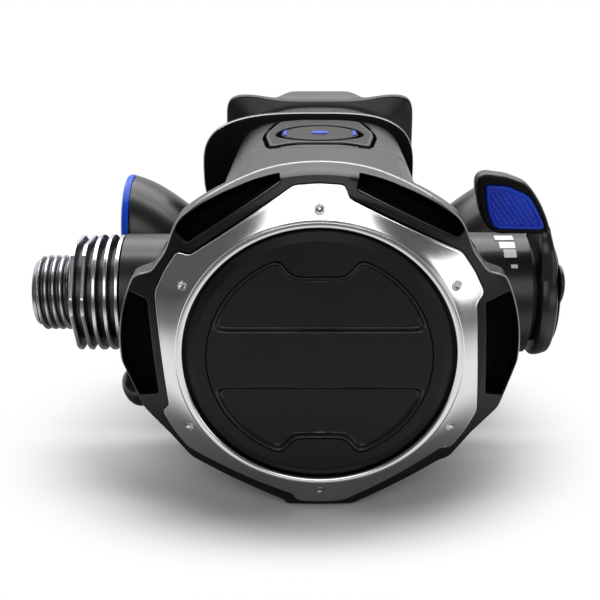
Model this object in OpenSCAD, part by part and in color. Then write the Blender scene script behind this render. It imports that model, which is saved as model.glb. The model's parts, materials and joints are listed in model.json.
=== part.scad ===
// Second stage (demand valve) of a scuba regulator, in millimetres.
// X points to the viewer's right, Y away from the viewer through the mouthpiece, Z up.
// The part stands on its front frame and its exhaust tee; the origin is the middle of its base.

/* [Front] */
// Radius of the opening that the purge cover fills
cover_opening_r = 23.75; // [23.5:0.05:24]
// Radius of the bezel at its six tabs
bezel_tab_r = 30.6; // [30.2:0.1:30.8]
// Distance from the centre to the bezel's six long sides
bezel_side_r = 28.2; // [27.9:0.1:28.4]
// Height of the front frame above the cover's centre
frame_top_r = 32.8; // [32.6:0.1:33.2]
// Half the front frame's width
frame_side_r = 35.7; // [35.4:0.1:36]

/* [Case] */
// Radius of the case at its rim
case_r = 32.4; // [32.2:0.1:32.6]
// Wall of the case
wall = 2; // [1.8:0.1:2.2]
// Depth from the bezel's opening to the valve barrel's axis
barrel_y = 23.3; // [23:0.1:23.6]
// Height of the valve barrel's axis above the cover's centre
barrel_z = 3.5; // [3:0.1:4]
// Height of the mouth tube's axis above the cover's centre
mouth_z = 18.2; // [18:0.1:18.4]

/* [Valve] */
// Major radius of the inlet's 9/16"-18 UNF thread
thread_r = 7.144; // [7.1:0.001:7.144]
// Pitch of the inlet thread, 18 turns to the inch
thread_pitch = 1.411; // [1.3:0.001:1.42]
// Outer radius of the heat exchanger's fins
fin_r = 11.1; // [10.8:0.1:11.2]
// Number of fins on the heat exchanger
fin_count = 5; // [4:1:5]
// Outer radius of the valve barrel
barrel_r = 7.5; // [7.4:0.1:7.5]

/* [Exhaust] */
// Distance from the middle to each horn's mouth
horn_x = 39; // [38.5:0.5:39.5]
// Radius of a horn's mouth
horn_r = 11.5; // [11:0.1:11.6]
// Depth of the exhaust duct's centre line
duct_y = 49.5; // [49:0.1:50]

/* [Hidden] */
$fn = 96;

// A gap that lets two fixed pieces touch without sharing space
slip = 0.05;
// Clearance of a turning or sliding fit
running = 0.06;

// Depths measured from the bezel's opening
lip_front_y = -0.6;
bezel_back_y = 3.25;
frame_back_y = 9;
clamp_front_y = 5.8;
rim_ledge_y = 9.4;
plate_front_y = 6.2;
diaphragm_front_y = 7.4;
diaphragm_back_y = 8.2;
case_back_y = 38;
clamp_y0 = 38.4;
clamp_y1 = 57.8;
collar_y = 58;
shield_y = 74;
bite_end_y = 90;

// Height of the surface that the part stands on
floor_z = -31.9;

// Places along the barrel's axis
thread_end_x = -54;
fin_start_x = -46.4;
boss_left_x = -36.6;
boss_right_x = 38.9;
hub_x = 40.1;
hub_end_x = 43.6;
knob_x = 43.9;
knob_end_x = 45.2;
orifice_x = -12;
lever_pivot_x = 9;
lever_pivot_y = barrel_y - barrel_r - 0.4;
boss_left_r = 11.2;
boss_right_r = 11.5;
sleeve_out_r = 9.3;
sleeve_in_r = 7.85;
bore_r = 5.5;

exhaust_z = -13;
exhaust_r = 11;
port_open_r = exhaust_r - 2.5;
port_front_y = case_back_y - 3;
port_back_y = case_back_y + 1;
valve_stem_r = 1.1;

// Where the whole object's base is centred
shift = [-(thread_end_x + knob_end_x) / 2, -(lip_front_y + bite_end_y) / 2, -floor_z];

satin_black = [0.16, 0.16, 0.17];
matt_black = [0.06, 0.06, 0.065];
chrome_grey = [0.8, 0.81, 0.83];
steel_grey = [0.62, 0.63, 0.65];
brass_tone = [0.74, 0.66, 0.45];
royal_blue = [0.05, 0.16, 0.78];
silicone_grey = [0.75, 0.75, 0.72];
white = [0.95, 0.95, 0.95];

// Helpers -----------------------------------------------------------

// Stands the part on its base
module placed() translate(shift) children();

// Moves children onto the barrel's axis
module on_barrel() placed() translate([0, barrel_y, barrel_z]) children();

// Extrudes a flat outline, drawn in X and Z, from depth y0 to y1
module along_y(y0, y1) translate([0, y1, 0]) rotate([90, 0, 0]) linear_extrude(y1 - y0) children();

// Turns a profile of radius and depth about Y
module turned_y() rotate([-90, 0, 0]) rotate_extrude() children();

// Turns a profile of radius and length about X
module turned_x() rotate([0, 90, 0]) rotate_extrude() children();

// A tube about X from x0 to x1
module tube_x(x0, x1, outer, inner) turned_x() polygon([[inner, x0], [outer, x0], [outer, x1], [inner, x1]]);

// A solid rod about X from x0 to x1
module rod_x(x0, x1, r) translate([x0, 0, 0]) rotate([0, 90, 0]) cylinder(r = r, h = x1 - x0);

function polar(r, a) = [r * cos(a), r * sin(a)];

// An arc of points at radius r from angle a to angle b in n steps
function arc(r, a, b, n) = [for (i = [0 : n]) polar(r, a + (b - a) * i / n)];

// A rounded oval of width w and height h; squareness 2 is an ellipse
function oval(w, h, squareness, n) = [
    for (i = [0 : n - 1]) let (c = cos(360 * i / n), s = sin(360 * i / n))
        [w / 2 * sign(c) * pow(abs(c), 2 / squareness), h / 2 * sign(s) * pow(abs(s), 2 / squareness)]
];

// A ring of points in the plane at depth y
function ring_y(outline, y, z) = [for (p = outline) [p[0], y, z + p[1]]];

// A ring of points in the plane at distance x
function ring_x(outline, x, y, z) = [for (p = outline) [x, y - p[0], z + p[1]]];

// Skins a solid over rings of equal numbers of points, each turning the same way
module loft(rings) {
    n = len(rings[0]);
    last = (len(rings) - 1) * n;
    sides = [
        for (r = [0 : len(rings) - 2], i = [0 : n - 1])
            let (a = r * n + i, b = r * n + (i + 1) % n)
            each [[a, b, a + n], [b, b + n, a + n]]
    ];
    first_cap = [for (i = [1 : n - 2]) [0, i + 1, i]];
    last_cap = [for (i = [1 : n - 2]) [last, last + i, last + i + 1]];
    polyhedron(points = [for (ring = rings) each ring], faces = concat(sides, first_cap, last_cap));
}

// A coil about X as one unbroken tube of round wire
coil_sides = 6;
coil_rings = 12;
module coil(r, wire, turns, length) loft([
    for (k = [0 : turns * coil_rings]) let (a = 360 * k / coil_rings, along = (length - 2 * wire) * a / 360 / turns)
        [for (i = [0 : coil_sides - 1]) let (b = -360 * i / coil_sides, out = r + wire * cos(b))
            [wire + along + wire * sin(b), out * cos(a), out * sin(a)]]
]);

// Front -------------------------------------------------------------

// The bezel's outline: six tabs, each with a small step on its clockwise side
tab_half = 8;
function bezel_outline(grow) = [
    for (k = [0 : 5]) let (middle = 90 - 60 * k) each [
        polar(bezel_tab_r + grow, middle + tab_half),
        polar(bezel_tab_r + grow, middle),
        polar(bezel_tab_r + grow, middle - tab_half),
        polar(bezel_side_r + grow + 0.5, middle - tab_half - 2),
        polar(bezel_side_r + grow + 0.1, middle - tab_half - 5)
    ]
];

// Depth of the bezel's dished face at radius r
function bezel_depth(r) = 3 * pow((r - 25.2) / 5.8, 1.15) - 0.2;

module bezel_profile() polygon(concat(
    [[cover_opening_r, -0.1], [cover_opening_r + 0.4, lip_front_y], [24.9, lip_front_y]],
    [for (r = [25.2 : 1 : 31.2]) [r, bezel_depth(r)]],
    [[31.2, bezel_back_y], [25.9, bezel_back_y], [25.9, 1.1], [cover_opening_r, 1.1]]
));

pin_ring_r = 26.85;
pin_head_r = 0.8;
module each_pin() for (k = [0 : 5]) rotate([0, 60 * k, 0]) translate([0, 0, pin_ring_r]) children();

module bezel() color(chrome_grey) placed() difference() {
    intersection() {
        turned_y() bezel_profile();
        along_y(-2, 5) polygon(bezel_outline(0));
    }
    each_pin() rotate([-90, 0, 0]) translate([0, 0, -3]) cylinder(r = pin_head_r + slip, h = 5, $fn = 24);
}

module bezel_pins() color(chrome_grey) placed() each_pin()
    rotate([-90, 0, 0]) rotate_extrude($fn = 24)
        polygon([[0, 0.75], [0.35, 0.75], [0.6, 0.35], [pin_head_r, 0.35], [pin_head_r, 2], [0, 2]]);

// A smooth rise from 0 to 1
function ease(t) = let (u = min(max(t, 0), 1)) u * u * (3 - 2 * u);

// Outline of the frame: round above the barrel with a hollow over each boss, and straight edges below it that
// follow the bezel's tabs. The lower corners move out by spread towards the case.
hollow_depth = 2.4;
function hollow(a) = hollow_depth * ease((a - 22) / 6) * ease((47 - a) / 14);
function frame_radius(a) =
    frame_top_r + (frame_side_r - frame_top_r) * pow(abs(cos(a)), 2.5) - hollow(min(a, 180 - a));
function frame_outline(spread) = concat(
    [for (a = [180 : -4 : 0]) polar(frame_radius(a), a)],
    [
        [frame_side_r - 0.1, -2.5], [32.6 + spread, -11.8 - spread], [27.7 + spread, -16.7 - spread],
        [24 + spread, -21.7 - spread], [22.2 + spread, -22.1 - spread], [6.2, floor_z], [-6.3, floor_z],
        [-6.8 - spread, -30.8 - spread], [-23.7 - spread, -21.6 - spread], [-27.2 - spread, -17 - spread],
        [-32 - spread, -11.8 - spread], [0.1 - frame_side_r, -2.5]
    ]
);

// The four water windows as pairs of directions; each reaches from beside the bezel to a thin rim
windows = [[-15.5, 18.3], [41.9, 78.3], [101.7, 138.1], [161.7, 195.5]];
window_rim = 0.5;
window_band = 1.75;
function window_sector(a, b) = concat(
    [[0, 0]], [for (i = [0 : 12]) let (c = a + (b - a) * i / 12) polar(frame_radius(c) - window_rim, c)]
);

module frame_face() turned_y() polygon([
    [25.9, 2.2], [29, 2.2], [33.6, 4.2], [frame_side_r + 2, 5.6], [frame_side_r + 2, 6.2],
    [25.9, 6.2]
]);

module front_frame() color(satin_black) placed() difference() {
    intersection() {
        loft([
            ring_y(frame_outline(0), 1, 0), ring_y(frame_outline(0), 4.2, 0),
            ring_y(frame_outline(0.8), frame_back_y, 0)
        ]);
        union() {
            frame_face();
            turned_y() polygon([
                [31.2, 6.2], [frame_side_r + 2, 6.2], [frame_side_r + 2, frame_back_y], [31.2, frame_back_y]
            ]);
        }
    }
    // pocket for the bezel, and the hole that the cover moves in
    along_y(0, bezel_back_y + slip) polygon(bezel_outline(0.12));
    along_y(0, frame_back_y + 1) circle(r = 25.9);
    along_y(clamp_front_y - slip, frame_back_y + 1) circle(r = 30.6);
    for (w = windows) along_y(0, 7.6) difference() {
        polygon(window_sector(w[0], w[1]));
        polygon(bezel_outline(window_band));
    }
}

// The purge cover: a soft disc with two recessed panels on each side of a plain middle band, and a fine line
// that runs round it and dips in above each panel
panel_r = 19.1;
notch_half = 4.5;
notch_z = 15.4;
// The notch between a panel's two humps, grown on every side
function notch_outline(grow) = [
    [notch_half + 3.6 + grow, notch_z + 5], [notch_half + 1.9 + grow, notch_z + 2.4],
    [notch_half + grow / 2, notch_z - grow], [-notch_half - grow / 2, notch_z - grow],
    [-notch_half - 1.9 - grow, notch_z + 2.4], [-notch_half - 3.6 - grow, notch_z + 5]
];
module panel(side) difference() {
    polygon([for (p = concat(arc(panel_r, 16.6, 163.4, 24))) [p[0], side * p[1]]]);
    polygon([for (p = notch_outline(0.7)) [p[0], side * p[1]]]);
}

line_r = 19.8;
line_width = 0.25;
// A disc of radius r without its two notches
module cover_line(r) difference() {
    circle(r = r);
    for (side = [-1, 1]) polygon([for (p = notch_outline(line_r - r)) [p[0], side * p[1]]]);
}

module purge_cover() color(matt_black) placed() difference() {
    turned_y() polygon([
        [0, lip_front_y], [21.6, lip_front_y], [23.4, 0.2], [23.4, 1.4], [25.4, 1.4], [25.4, 2.2],
        [5, 2.2], [5, 5.6], [0, 5.6]
    ]);
    for (side = [-1, 1]) along_y(-2, 0.1) panel(side);
    along_y(-2, -0.3) difference() {
        cover_line(line_r);
        cover_line(line_r - line_width);
    }
}

module diaphragm_ring() color(satin_black) placed() turned_y()
    polygon([[27.4, clamp_front_y], [30.4, clamp_front_y], [30.4, 7.5], [27.4, 7.5]]);

// A thin silicone sheet with a rim bead and one round fold
module diaphragm() color(silicone_grey) placed() turned_y() polygon(concat(
    [[0, diaphragm_front_y], [17, diaphragm_front_y]],
    [for (i = [0 : 8]) let (u = i / 8) [18 + 8 * u, diaphragm_front_y - 1.1 * sin(180 * u) + 0.1]],
    [[27.6, diaphragm_front_y + 0.15], [28, 7.55], [30.4, 7.55], [30.4, rim_ledge_y - slip],
     [28.2, rim_ledge_y - slip], [27.6, diaphragm_back_y]],
    [for (i = [8 : -1 : 0]) let (u = i / 8) [18 + 8 * u, diaphragm_back_y - 1.1 * sin(180 * u)]],
    [[0, diaphragm_back_y]]
));

module diaphragm_plate() color(steel_grey) placed() turned_y() polygon([
    [0, plate_front_y], [13, plate_front_y], [14.5, plate_front_y + 0.5],
    [14.5, diaphragm_front_y - slip], [0, diaphragm_front_y - slip]
]);

// Case --------------------------------------------------------------

ring_points = 32;
neck_squareness = 3.4;
clamp_wall = 1.2;
sleeve_wall = 1.5;
spigot_wall = 1.4;

// Width and height of the neck at depth y: it narrows and rises towards the mouthpiece
function neck_w(y) = 38.6 - 3.4 * (y - 20) / 38;
function neck_h(y) = 17.6 + 5.4 * (y - 20) / 38;

// The neck's solid between two depths, drawn in by inset
module neck(inset, y0, y1) loft([
    for (y = [y0, y1])
        ring_y(oval(neck_w(y) - 2 * inset, neck_h(y) - 2 * inset, neck_squareness, ring_points), y, mouth_z)
]);

// The bowl's outer solid, grown by a little, and the hollow in it
module bowl(grow) turned_y() polygon([
    [0, rim_ledge_y - 0.35], [case_r + grow, rim_ledge_y - 0.35], [case_r + grow, 10], [30.2 + grow, 17],
    [28 + grow, 24], [25 + grow, 31], [21 + grow, case_back_y + grow], [0, case_back_y + grow]
]);
module bowl_hollow() turned_y() polygon([
    [0, 5], [28, 5], [28, 17.6], [28 - wall, 24], [25 - wall, 31], [21 - wall, case_back_y - wall],
    [0, case_back_y - wall]
]);

spigot_inset = clamp_wall + sleeve_wall + 2 * slip;

module case_shell() color(satin_black) placed() difference() {
    union() {
        difference() {
            union() {
                bowl(0);
                neck(0, 20, clamp_y0 - 0.1);
                neck(spigot_inset, 30, collar_y - 2);
            }
            bowl_hollow();
            neck(spigot_inset + spigot_wall, 8, collar_y);
        }
        // the two bosses run on into the bowl
        translate([0, barrel_y, barrel_z]) {
            rod_x(boss_left_x, -20, boss_left_r);
            rod_x(20, boss_right_x, boss_right_r);
        }
        translate([0, 0, exhaust_z]) along_y(port_front_y, port_back_y) circle(r = exhaust_r + 1.6);
    }
    // the rim's seat for the diaphragm
    along_y(0, rim_ledge_y) circle(r = 30.6);
    translate([0, barrel_y, barrel_z]) {
        rod_x(boss_left_x - 1, 0, barrel_r + slip);
        rod_x(0, boss_right_x + 1, sleeve_out_r + running);
    }
    // the exhaust port keeps a cross and a hub for the valve's stem
    translate([0, 0, exhaust_z]) {
        for (k = [0 : 3]) rotate([0, 90 * k, 0]) along_y(port_front_y - 3, port_back_y + 1)
            polygon(concat(arc(port_open_r, 10, 80, 8), arc(3.4, 70, 20, 3)));
        along_y(port_front_y - 1, port_back_y + 1) circle(r = valve_stem_r + running, $fn = 32);
    }
}

module lock_plug() color(matt_black) placed()
    translate([-29.4, 19.5, -12]) rotate([0, -115, 0]) rotate_extrude($fn = 48)
        polygon([[0, 0], [3.2, 0], [3.2, 5], [4, 5.4], [4, 7.4], [3.4, 8.5], [2.2, 9.3], [0, 9.6]]);

// Valve -------------------------------------------------------------

module valve_barrel() color(brass_tone) on_barrel() difference() {
    union() {
        difference() {
            tube_x(-30, 34, barrel_r, bore_r);
            // slot for the lever's feet
            translate([lever_pivot_x - 3.4, -barrel_r - 2, -4.3]) cube([8.8, 5, 8.6]);
        }
        // two ears that hold the lever's pin
        for (side = [-1, 1]) translate([lever_pivot_x - 1.4, -barrel_r - 1.6, side * 4.9 - 0.55])
            cube([2.8, 4, 1.1]);
    }
    translate([lever_pivot_x, lever_pivot_y - barrel_y, -6]) cylinder(r = 0.7 + slip / 2, h = 12, $fn = 32);
    // jet towards the mouth tube
    translate([-4, 0, 0]) rotate([-60, 0, 0]) cylinder(r = 2.6, h = barrel_r + 2, $fn = 32);
    seal_groove(-22.6, 6.6, barrel_r + 1, 1.2);
}

thread_turns = 5;
module thread_profile() polygon(concat(
    [[4, thread_end_x], [6.1, thread_end_x], [6.7, thread_end_x + 0.6]],
    [for (k = [0 : thread_turns - 1]) let (x = thread_end_x + 1 + k * thread_pitch) each [
        [thread_r - 0.75, x],
        [thread_r, x + 0.5],
        [thread_r, x + 0.8],
        [thread_r - 0.75, x + thread_pitch - 0.1]
    ]],
    [[thread_r - 0.75, fin_start_x], [7.3, fin_start_x + slip], [7.3, -30.2], [bore_r - slip, -30.2],
     [bore_r - slip, -28.6], [4.3, -28.6], [4.3, -27.2], [bore_r - slip, -27.2],
     [bore_r - slip, -26], [2.2, -26], [2.2, thread_end_x + 12], [4, thread_end_x + 12]]
));
module inlet_fitting() color(steel_grey) on_barrel() turned_x() thread_profile();

fin_pitch = 2.07;
fin_thick = 1.05;
wrench_flats_r = 10.3;
module heat_exchanger() color(chrome_grey) on_barrel() difference() {
    union() {
        rod_x(fin_start_x, boss_left_x - slip, 8.8);
        for (k = [0 : fin_count - 1]) let (x = fin_start_x + 0.3 + k * fin_pitch) {
            intersection() {
                rod_x(x, x + fin_thick, fin_r);
                if (k < 2) rotate([24, 0, 0]) translate([x, 0, 0]) rotate([0, 90, 0])
                    cylinder(r = wrench_flats_r / cos(30), h = fin_thick, $fn = 6);
            }
        }
    }
    rod_x(fin_start_x - 1, boss_left_x + 1, 7.3 + slip);
}

module orifice() color(steel_grey) on_barrel() turned_x() polygon([
    [2, -25.9], [bore_r - slip, -25.9], [bore_r - slip, -18], [4, -16.5], [3, orifice_x - 0.6],
    [2.6, orifice_x], [2.2, orifice_x - 0.4], [2, orifice_x - 1.2]
]);

// A round sealing ring about X, and the groove that one sits in
module seal_ring(x, r, wire) turned_x() translate([r, x]) circle(r = wire, $fn = 24);
module seal_groove(x, floor_r, outer, length) tube_x(x - length / 2, x + length / 2, outer, floor_r);

module inlet_seals() color(matt_black) on_barrel() {
    seal_ring(-27.9, 4.88, 0.54);
    seal_ring(-22.6, 7.08, 0.44);
}

module lever_pin() color(steel_grey) placed()
    translate([lever_pivot_x, lever_pivot_y, barrel_z - 5.5]) cylinder(r = 0.7, h = 11, $fn = 32);

// A bent arm on two ears: its tip meets the diaphragm, and its foot pushes the poppet back
module demand_lever() color(steel_grey) placed() {
    tip_x = -3;
    tip_y = diaphragm_back_y + 0.35;
    difference() {
        translate([0, 0, barrel_z - 1.8]) linear_extrude(3.6) polygon([
            [tip_x - 1.5, tip_y + 0.2], [tip_x, tip_y], [tip_x + 1.5, tip_y + 0.2],
            [lever_pivot_x - 3, lever_pivot_y - 2.4], [lever_pivot_x + 1.6, lever_pivot_y - 1.6],
            [lever_pivot_x + 1.6, lever_pivot_y + 1.4], [lever_pivot_x + 0.5, lever_pivot_y + 4.4],
            [lever_pivot_x - 0.5, lever_pivot_y + 4.4], [lever_pivot_x - 1.6, lever_pivot_y + 1.2],
            [lever_pivot_x - 3.4, lever_pivot_y - 1.2]
        ]);
        translate([lever_pivot_x, lever_pivot_y, barrel_z - 5]) cylinder(r = 0.7 + running, h = 10, $fn = 32);
    }
}

poppet_collar_x = lever_pivot_x + 0.95;
module poppet() color(white) on_barrel() turned_x() polygon([
    [0, orifice_x + 1], [4.2, orifice_x + 1], [4.2, orifice_x + 4], [2, orifice_x + 6],
    [2, poppet_collar_x], [4.2, poppet_collar_x], [4.2, poppet_collar_x + 2.2],
    [1.6, poppet_collar_x + 2.2], [1.6, 21], [0, 21]
]);

module poppet_seat() color(matt_black) on_barrel()
    rod_x(orifice_x + 0.08, orifice_x + 1 - slip, 3.6);

spring_start_x = poppet_collar_x + 2.25;
spring_end_x = 23.4;
module poppet_spring() color(steel_grey) on_barrel()
    translate([spring_start_x, 0, 0]) coil(3.6, 0.4, 7, spring_end_x - spring_start_x - slip);

module spring_pad() color(white) on_barrel() tube_x(spring_end_x, 26, bore_r - running, 2);

module adjusting_screw() color(brass_tone) on_barrel() difference() {
    turned_x() polygon([
        [2, 26 + slip], [bore_r - running, 26 + slip], [bore_r - running, 31], [3.2, 32], [3.2, 41.5],
        [0, 41.5], [0, 30], [2, 29]
    ]);
    seal_groove(28.4, 4.3, bore_r + 1, 1.4);
}

module screw_seal() color(matt_black) on_barrel() seal_ring(28.4, 4.87, 0.53);

// A domed disc with three grips
knob_lobes = 3;
cap_r = 5.4;
module adjusting_knob() color(satin_black) on_barrel() difference() {
    union() {
        turned_x() polygon([
            [0, knob_x], [9.2, knob_x], [9.4, knob_x + 0.2], [9.3, knob_x + 0.45], [7.6, knob_x + 0.85],
            [cap_r + 0.5, knob_end_x], [0, knob_end_x]
        ]);
        intersection() {
            turned_x() polygon([
                [0, knob_x], [11.3, knob_x], [11.5, knob_x + 0.3], [11.5, knob_x + 0.6], [11.1, knob_x + 0.9],
                [9, knob_end_x - 0.2], [cap_r + 0.5, knob_end_x], [0, knob_end_x]
            ]);
            for (k = [0 : knob_lobes - 1]) rotate([58.6 + 360 * k / knob_lobes, 0, 0])
                translate([0, 0, 7.8]) rod_x(knob_x, knob_end_x, 3.7);
        }
        rod_x(35.4, knob_x + slip, 5);
    }
    rod_x(35, 43.8, 3.2 + running);
    rod_x(44.4, 48, cap_r + 0.1);
}

module knob_cap() color(steel_grey) on_barrel() rod_x(44.4 + slip, 45.1, cap_r);

module barrel_bushing() color(brass_tone) on_barrel()
    tube_x(34 + slip, boss_right_x, barrel_r, 5 + running);

// Venturi control ---------------------------------------------------

// At rest the vane leaves the jet free; turned back, it covers the jet
vane_start = 128;
vane_end = 200;
module venturi_sleeve() color(matt_black) on_barrel() {
    tube_x(12.5, hub_x - slip, sleeve_out_r, sleeve_in_r);
    intersection() {
        tube_x(-9, 12.6, sleeve_out_r, sleeve_in_r);
        rotate([0, 90, 0]) translate([0, 0, -9]) linear_extrude(22)
            polygon(concat([[0, 0]], arc(20, vane_start, vane_end, 6)));
    }
}

tab_front_y = 15.5;
tab_back_y = 19;
// The thumb tab's outline in X and Z, with its lower left corner cut away
tab_outline = [
    [27.7, 27.4], [28.2, 28.5], [29.5, 28.9], [33.2, 28.4], [36.6, 27.1], [38.1, 25.6], [39.8, 23],
    [41.2, 20], [41.9, 17.6], [32.4, 17.6], [30.7, 18.3], [29.6, 19.6], [28.4, 22.4], [27.8, 25.2]
];
pad_outline = [
    [29.4, 26.5], [29.9, 26.9], [33.2, 26.7], [36.6, 25.3], [37.7, 24.4], [39, 22.3], [40.3, 19.9], [40.6, 19],
    [39.9, 18.5], [32, 18.7], [31, 19.5], [30.1, 21.7], [29.6, 24.2]
];
pad_middle = [34.8, 22.4];
pad_depth = 1.2;

module venturi_lever() color(satin_black) {
    difference() {
        union() {
            on_barrel() turned_x() polygon([
                [0, hub_x], [11.6, hub_x], [12, hub_x + 0.4], [12, hub_x + 1.6], [11.5, hub_end_x - 0.3],
                [10.8, hub_end_x], [0, hub_end_x]
            ]);
            // arm from the hub up to the thumb tab, thinner towards its top
            on_barrel() intersection() {
                translate([hub_x, 0, 0]) rotate([90, 0, 90]) linear_extrude(hub_end_x - hub_x - 0.3) polygon([
                    [-11, 2], [-9.4, 12], [-7.8, 14.3], [-7.8, 15.6], [-4.4, 16], [-1, 13], [3, 11.2], [0, 0]
                ]);
                along_y(-20, 20) polygon([
                    [hub_x - 1, -1], [hub_end_x, -1], [hub_end_x, 8.5], [41.8, 15], [41.4, 17], [hub_x - 1, 17]
                ]);
            }
            placed() along_y(tab_front_y, tab_back_y) polygon(tab_outline);
        }
        on_barrel() rod_x(hub_x - 1, hub_end_x + 1, 5.3);
        placed() along_y(tab_front_y - 1, tab_front_y + pad_depth) polygon(pad_outline);
    }
}

module venturi_pad() color(royal_blue) placed()
    along_y(tab_front_y - 0.3, tab_front_y + pad_depth - slip)
        polygon([for (p = pad_outline) p + 0.015 * (pad_middle - p)]);

// Three bars that shrink downwards and one dash, printed on the right boss
marks = [[3.5, 1.9, 7.5], [2.9, 1.9, 20], [2.3, 1.9, 31], [1.2, 0.7, 45]];
mark_end_x = 36.2;
module scale_marks() color(white) on_barrel() intersection() {
    tube_x(30, 38, boss_right_r + 0.12, boss_right_r + 0.01);
    for (m = marks) rotate([m[2], 0, 0]) translate([mark_end_x - m[0], -m[1] / 2, 0]) cube([m[0], m[1], 20]);
}

// Exhaust -----------------------------------------------------------

module exhaust_valve() color(silicone_grey) placed() translate([0, 0, exhaust_z]) turned_y() polygon([
    [0, port_front_y - 4], [1, port_front_y - 4], [1.7, port_front_y - 2.2], [1.7, port_front_y - 1.8],
    [valve_stem_r, port_front_y - 1.8], [valve_stem_r, port_back_y + 0.3], [exhaust_r - 1, port_back_y + 0.3],
    [exhaust_r - 0.6, port_back_y + 0.7], [3, port_back_y + 1.2], [1.6, port_back_y + 1.8], [0, port_back_y + 1.8]
]);

// The duct's centre line lies flat in the middle and at its mouths, and climbs between them
duct_dip_z = -21.5;
duct_mouth_z = 7.7;
function duct_z(x) = let (t = min(abs(x) / horn_x, 1))
    duct_dip_z + (duct_mouth_z - duct_dip_z) * t * t * (3 - 2 * t - 0.35 * (1 - t));
// Half its height and half its depth at distance x
function duct_half_h(x) = horn_r + 2.9 * pow(1 - pow(x / horn_x, 2), 2);
function duct_half_y(x) = horn_r - 0.5 * (1 - pow(x / horn_x, 2));
duct_steps = 18;
module duct(inset, past) loft([
    for (i = [0 : duct_steps]) let (x = (2 * i / duct_steps - 1) * horn_x)
        ring_x(oval(2 * (duct_half_y(x) - inset), 2 * (duct_half_h(x) - inset), 2.1, ring_points),
               x * (horn_x + past) / horn_x, duct_y, duct_z(x))
]);

module exhaust_tee() color(satin_black) placed() difference() {
    union() {
        duct(0, 0);
        translate([0, 0, exhaust_z]) along_y(case_back_y - 1, port_back_y + 6.5) circle(r = exhaust_r + 3.4);
    }
    translate([-60, 0, floor_z - 20]) cube([120, 100, 20]);
    difference() {
        duct(1.6, 1);
        translate([-60, 0, floor_z - 20]) cube([120, 100, 21.6]);
    }
    // the collar slips over the port, and the valve opens into the room behind it
    translate([0, 0, exhaust_z]) {
        along_y(case_back_y - 2, port_back_y + slip) circle(r = exhaust_r + 1.6 + slip);
        along_y(case_back_y, port_back_y + 5) circle(r = exhaust_r + 0.6);
    }
    bowl(0.1);
}

module exhaust_trim(side) color(royal_blue) placed() translate([side * horn_x, duct_y, duct_z(horn_x)])
    scale([side, 1, 1]) turned_x() polygon([
        [horn_r - 1.5, slip], [horn_r + 0.1, slip], [horn_r + 0.3, 0.6], [horn_r + 0.1, 1.3],
        [horn_r - 0.6, 1.6], [horn_r - 1.5, 1.3]
    ]);
module exhaust_trim_left() exhaust_trim(-1);
module exhaust_trim_right() exhaust_trim(1);

// Mouthpiece --------------------------------------------------------

module oval_along(w0, h0, y0, w1, h1, y1, p) loft([
    ring_y(oval(w0, h0, p, ring_points), y0, mouth_z),
    ring_y(oval(w1, h1, p, ring_points), y1, mouth_z)
]);

// The collar's outline reaches further on its left side
collar_left = 25.4;
collar_right = 20.4;
function collar_outline(n) = [
    for (i = [0 : n - 1]) let (a = 360 * i / n, c = cos(a), s = sin(a), w = c < 0 ? collar_left : collar_right)
        [w * sign(c) * pow(abs(c), 0.64), 12.8 * sign(s) * pow(abs(s), 0.64)]
];

// The lip shield is a rounded square, drawn in a little at its corners
function shield_outline(n) = [
    for (i = [0 : n - 1]) let (a = 360 * (i + 0.5) / n, c = cos(a), s = sin(a))
        [(21.4 - 1.7 * s * s) * sign(c) * pow(abs(c), 0.2), (13.6 + 0.9 * c * c) * sign(s) * pow(abs(s), 0.2)]
];

// A bite tab: a flat tongue between the teeth that ends in an upright lug behind them
module bite_tab(side) {
    loft([
        for (k = [0 : 4]) let (u = k / 4, y = shield_y + 1 + (bite_end_y - shield_y - 1) * u)
            ring_y([for (p = oval(11 - 2.6 * u * u, 3.4, 3, 20)) p + [side * (15 - 1.2 * u), 0]], y, mouth_z)
    ]);
    loft([
        for (k = [0 : 4]) let (u = k / 4, y = shield_y + 7 + (bite_end_y - shield_y - 7.4) * u)
            ring_y([for (p = oval(3.2, 6 + 8 * sqrt(u * (2 - u)) - 2 * u * u * u, 3, 20)) p + [side * (11.4 - 0.6 * u), 0]],
                   y, mouth_z)
    ]);
}

module mouthpiece() color(matt_black) placed() difference() {
    union() {
        neck(clamp_wall + slip, clamp_y0 + 0.1, collar_y + 1);
        loft([ring_y(collar_outline(48), collar_y, mouth_z), ring_y(collar_outline(48), collar_y + 2, mouth_z)]);
        oval_along(34, 21.4, collar_y + 1, 31, 20, shield_y + 1, 2.8);
        loft([ring_y(shield_outline(48), shield_y, mouth_z), ring_y(shield_outline(48), shield_y + 2, mouth_z)]);
        for (side = [-1, 1]) bite_tab(side);
    }
    neck(spigot_inset - slip, 30, collar_y - 2 + slip);
    oval_along(27, 13.4, collar_y - 3, 24, 13, shield_y + 3, 2.8);
}

// The clamp's raised plate, in X and Y, narrower towards the case
badge_outline = [
    [-8.4, 56], [-10.8, 49.4], [-11, 46.8], [-9.9, 39.7], [-9.2, 39.2], [-4.6, 40.6], [4.6, 40.6], [9.2, 39.2],
    [9.9, 39.7], [11, 46.8], [10.8, 49.4], [8.4, 56], [4, 56.6], [-4, 56.6]
];
badge_depth = 0.6;
badge_stand = 0.3;
badge_middle_y = 47;
badge_mark_x = 6.4;

module badge_column(grow) translate([0, badge_middle_y, 20])
    linear_extrude(20) scale(1 + grow) translate([0, -badge_middle_y]) polygon(badge_outline);

module mouthpiece_clamp() color(satin_black) placed() difference() {
    neck(0, clamp_y0, clamp_y1);
    neck(clamp_wall, clamp_y0 - 1, clamp_y1 + 1);
    difference() {
        badge_column(0.01);
        neck(badge_depth, clamp_y0 - 1, clamp_y1 + 1);
    }
}

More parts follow.
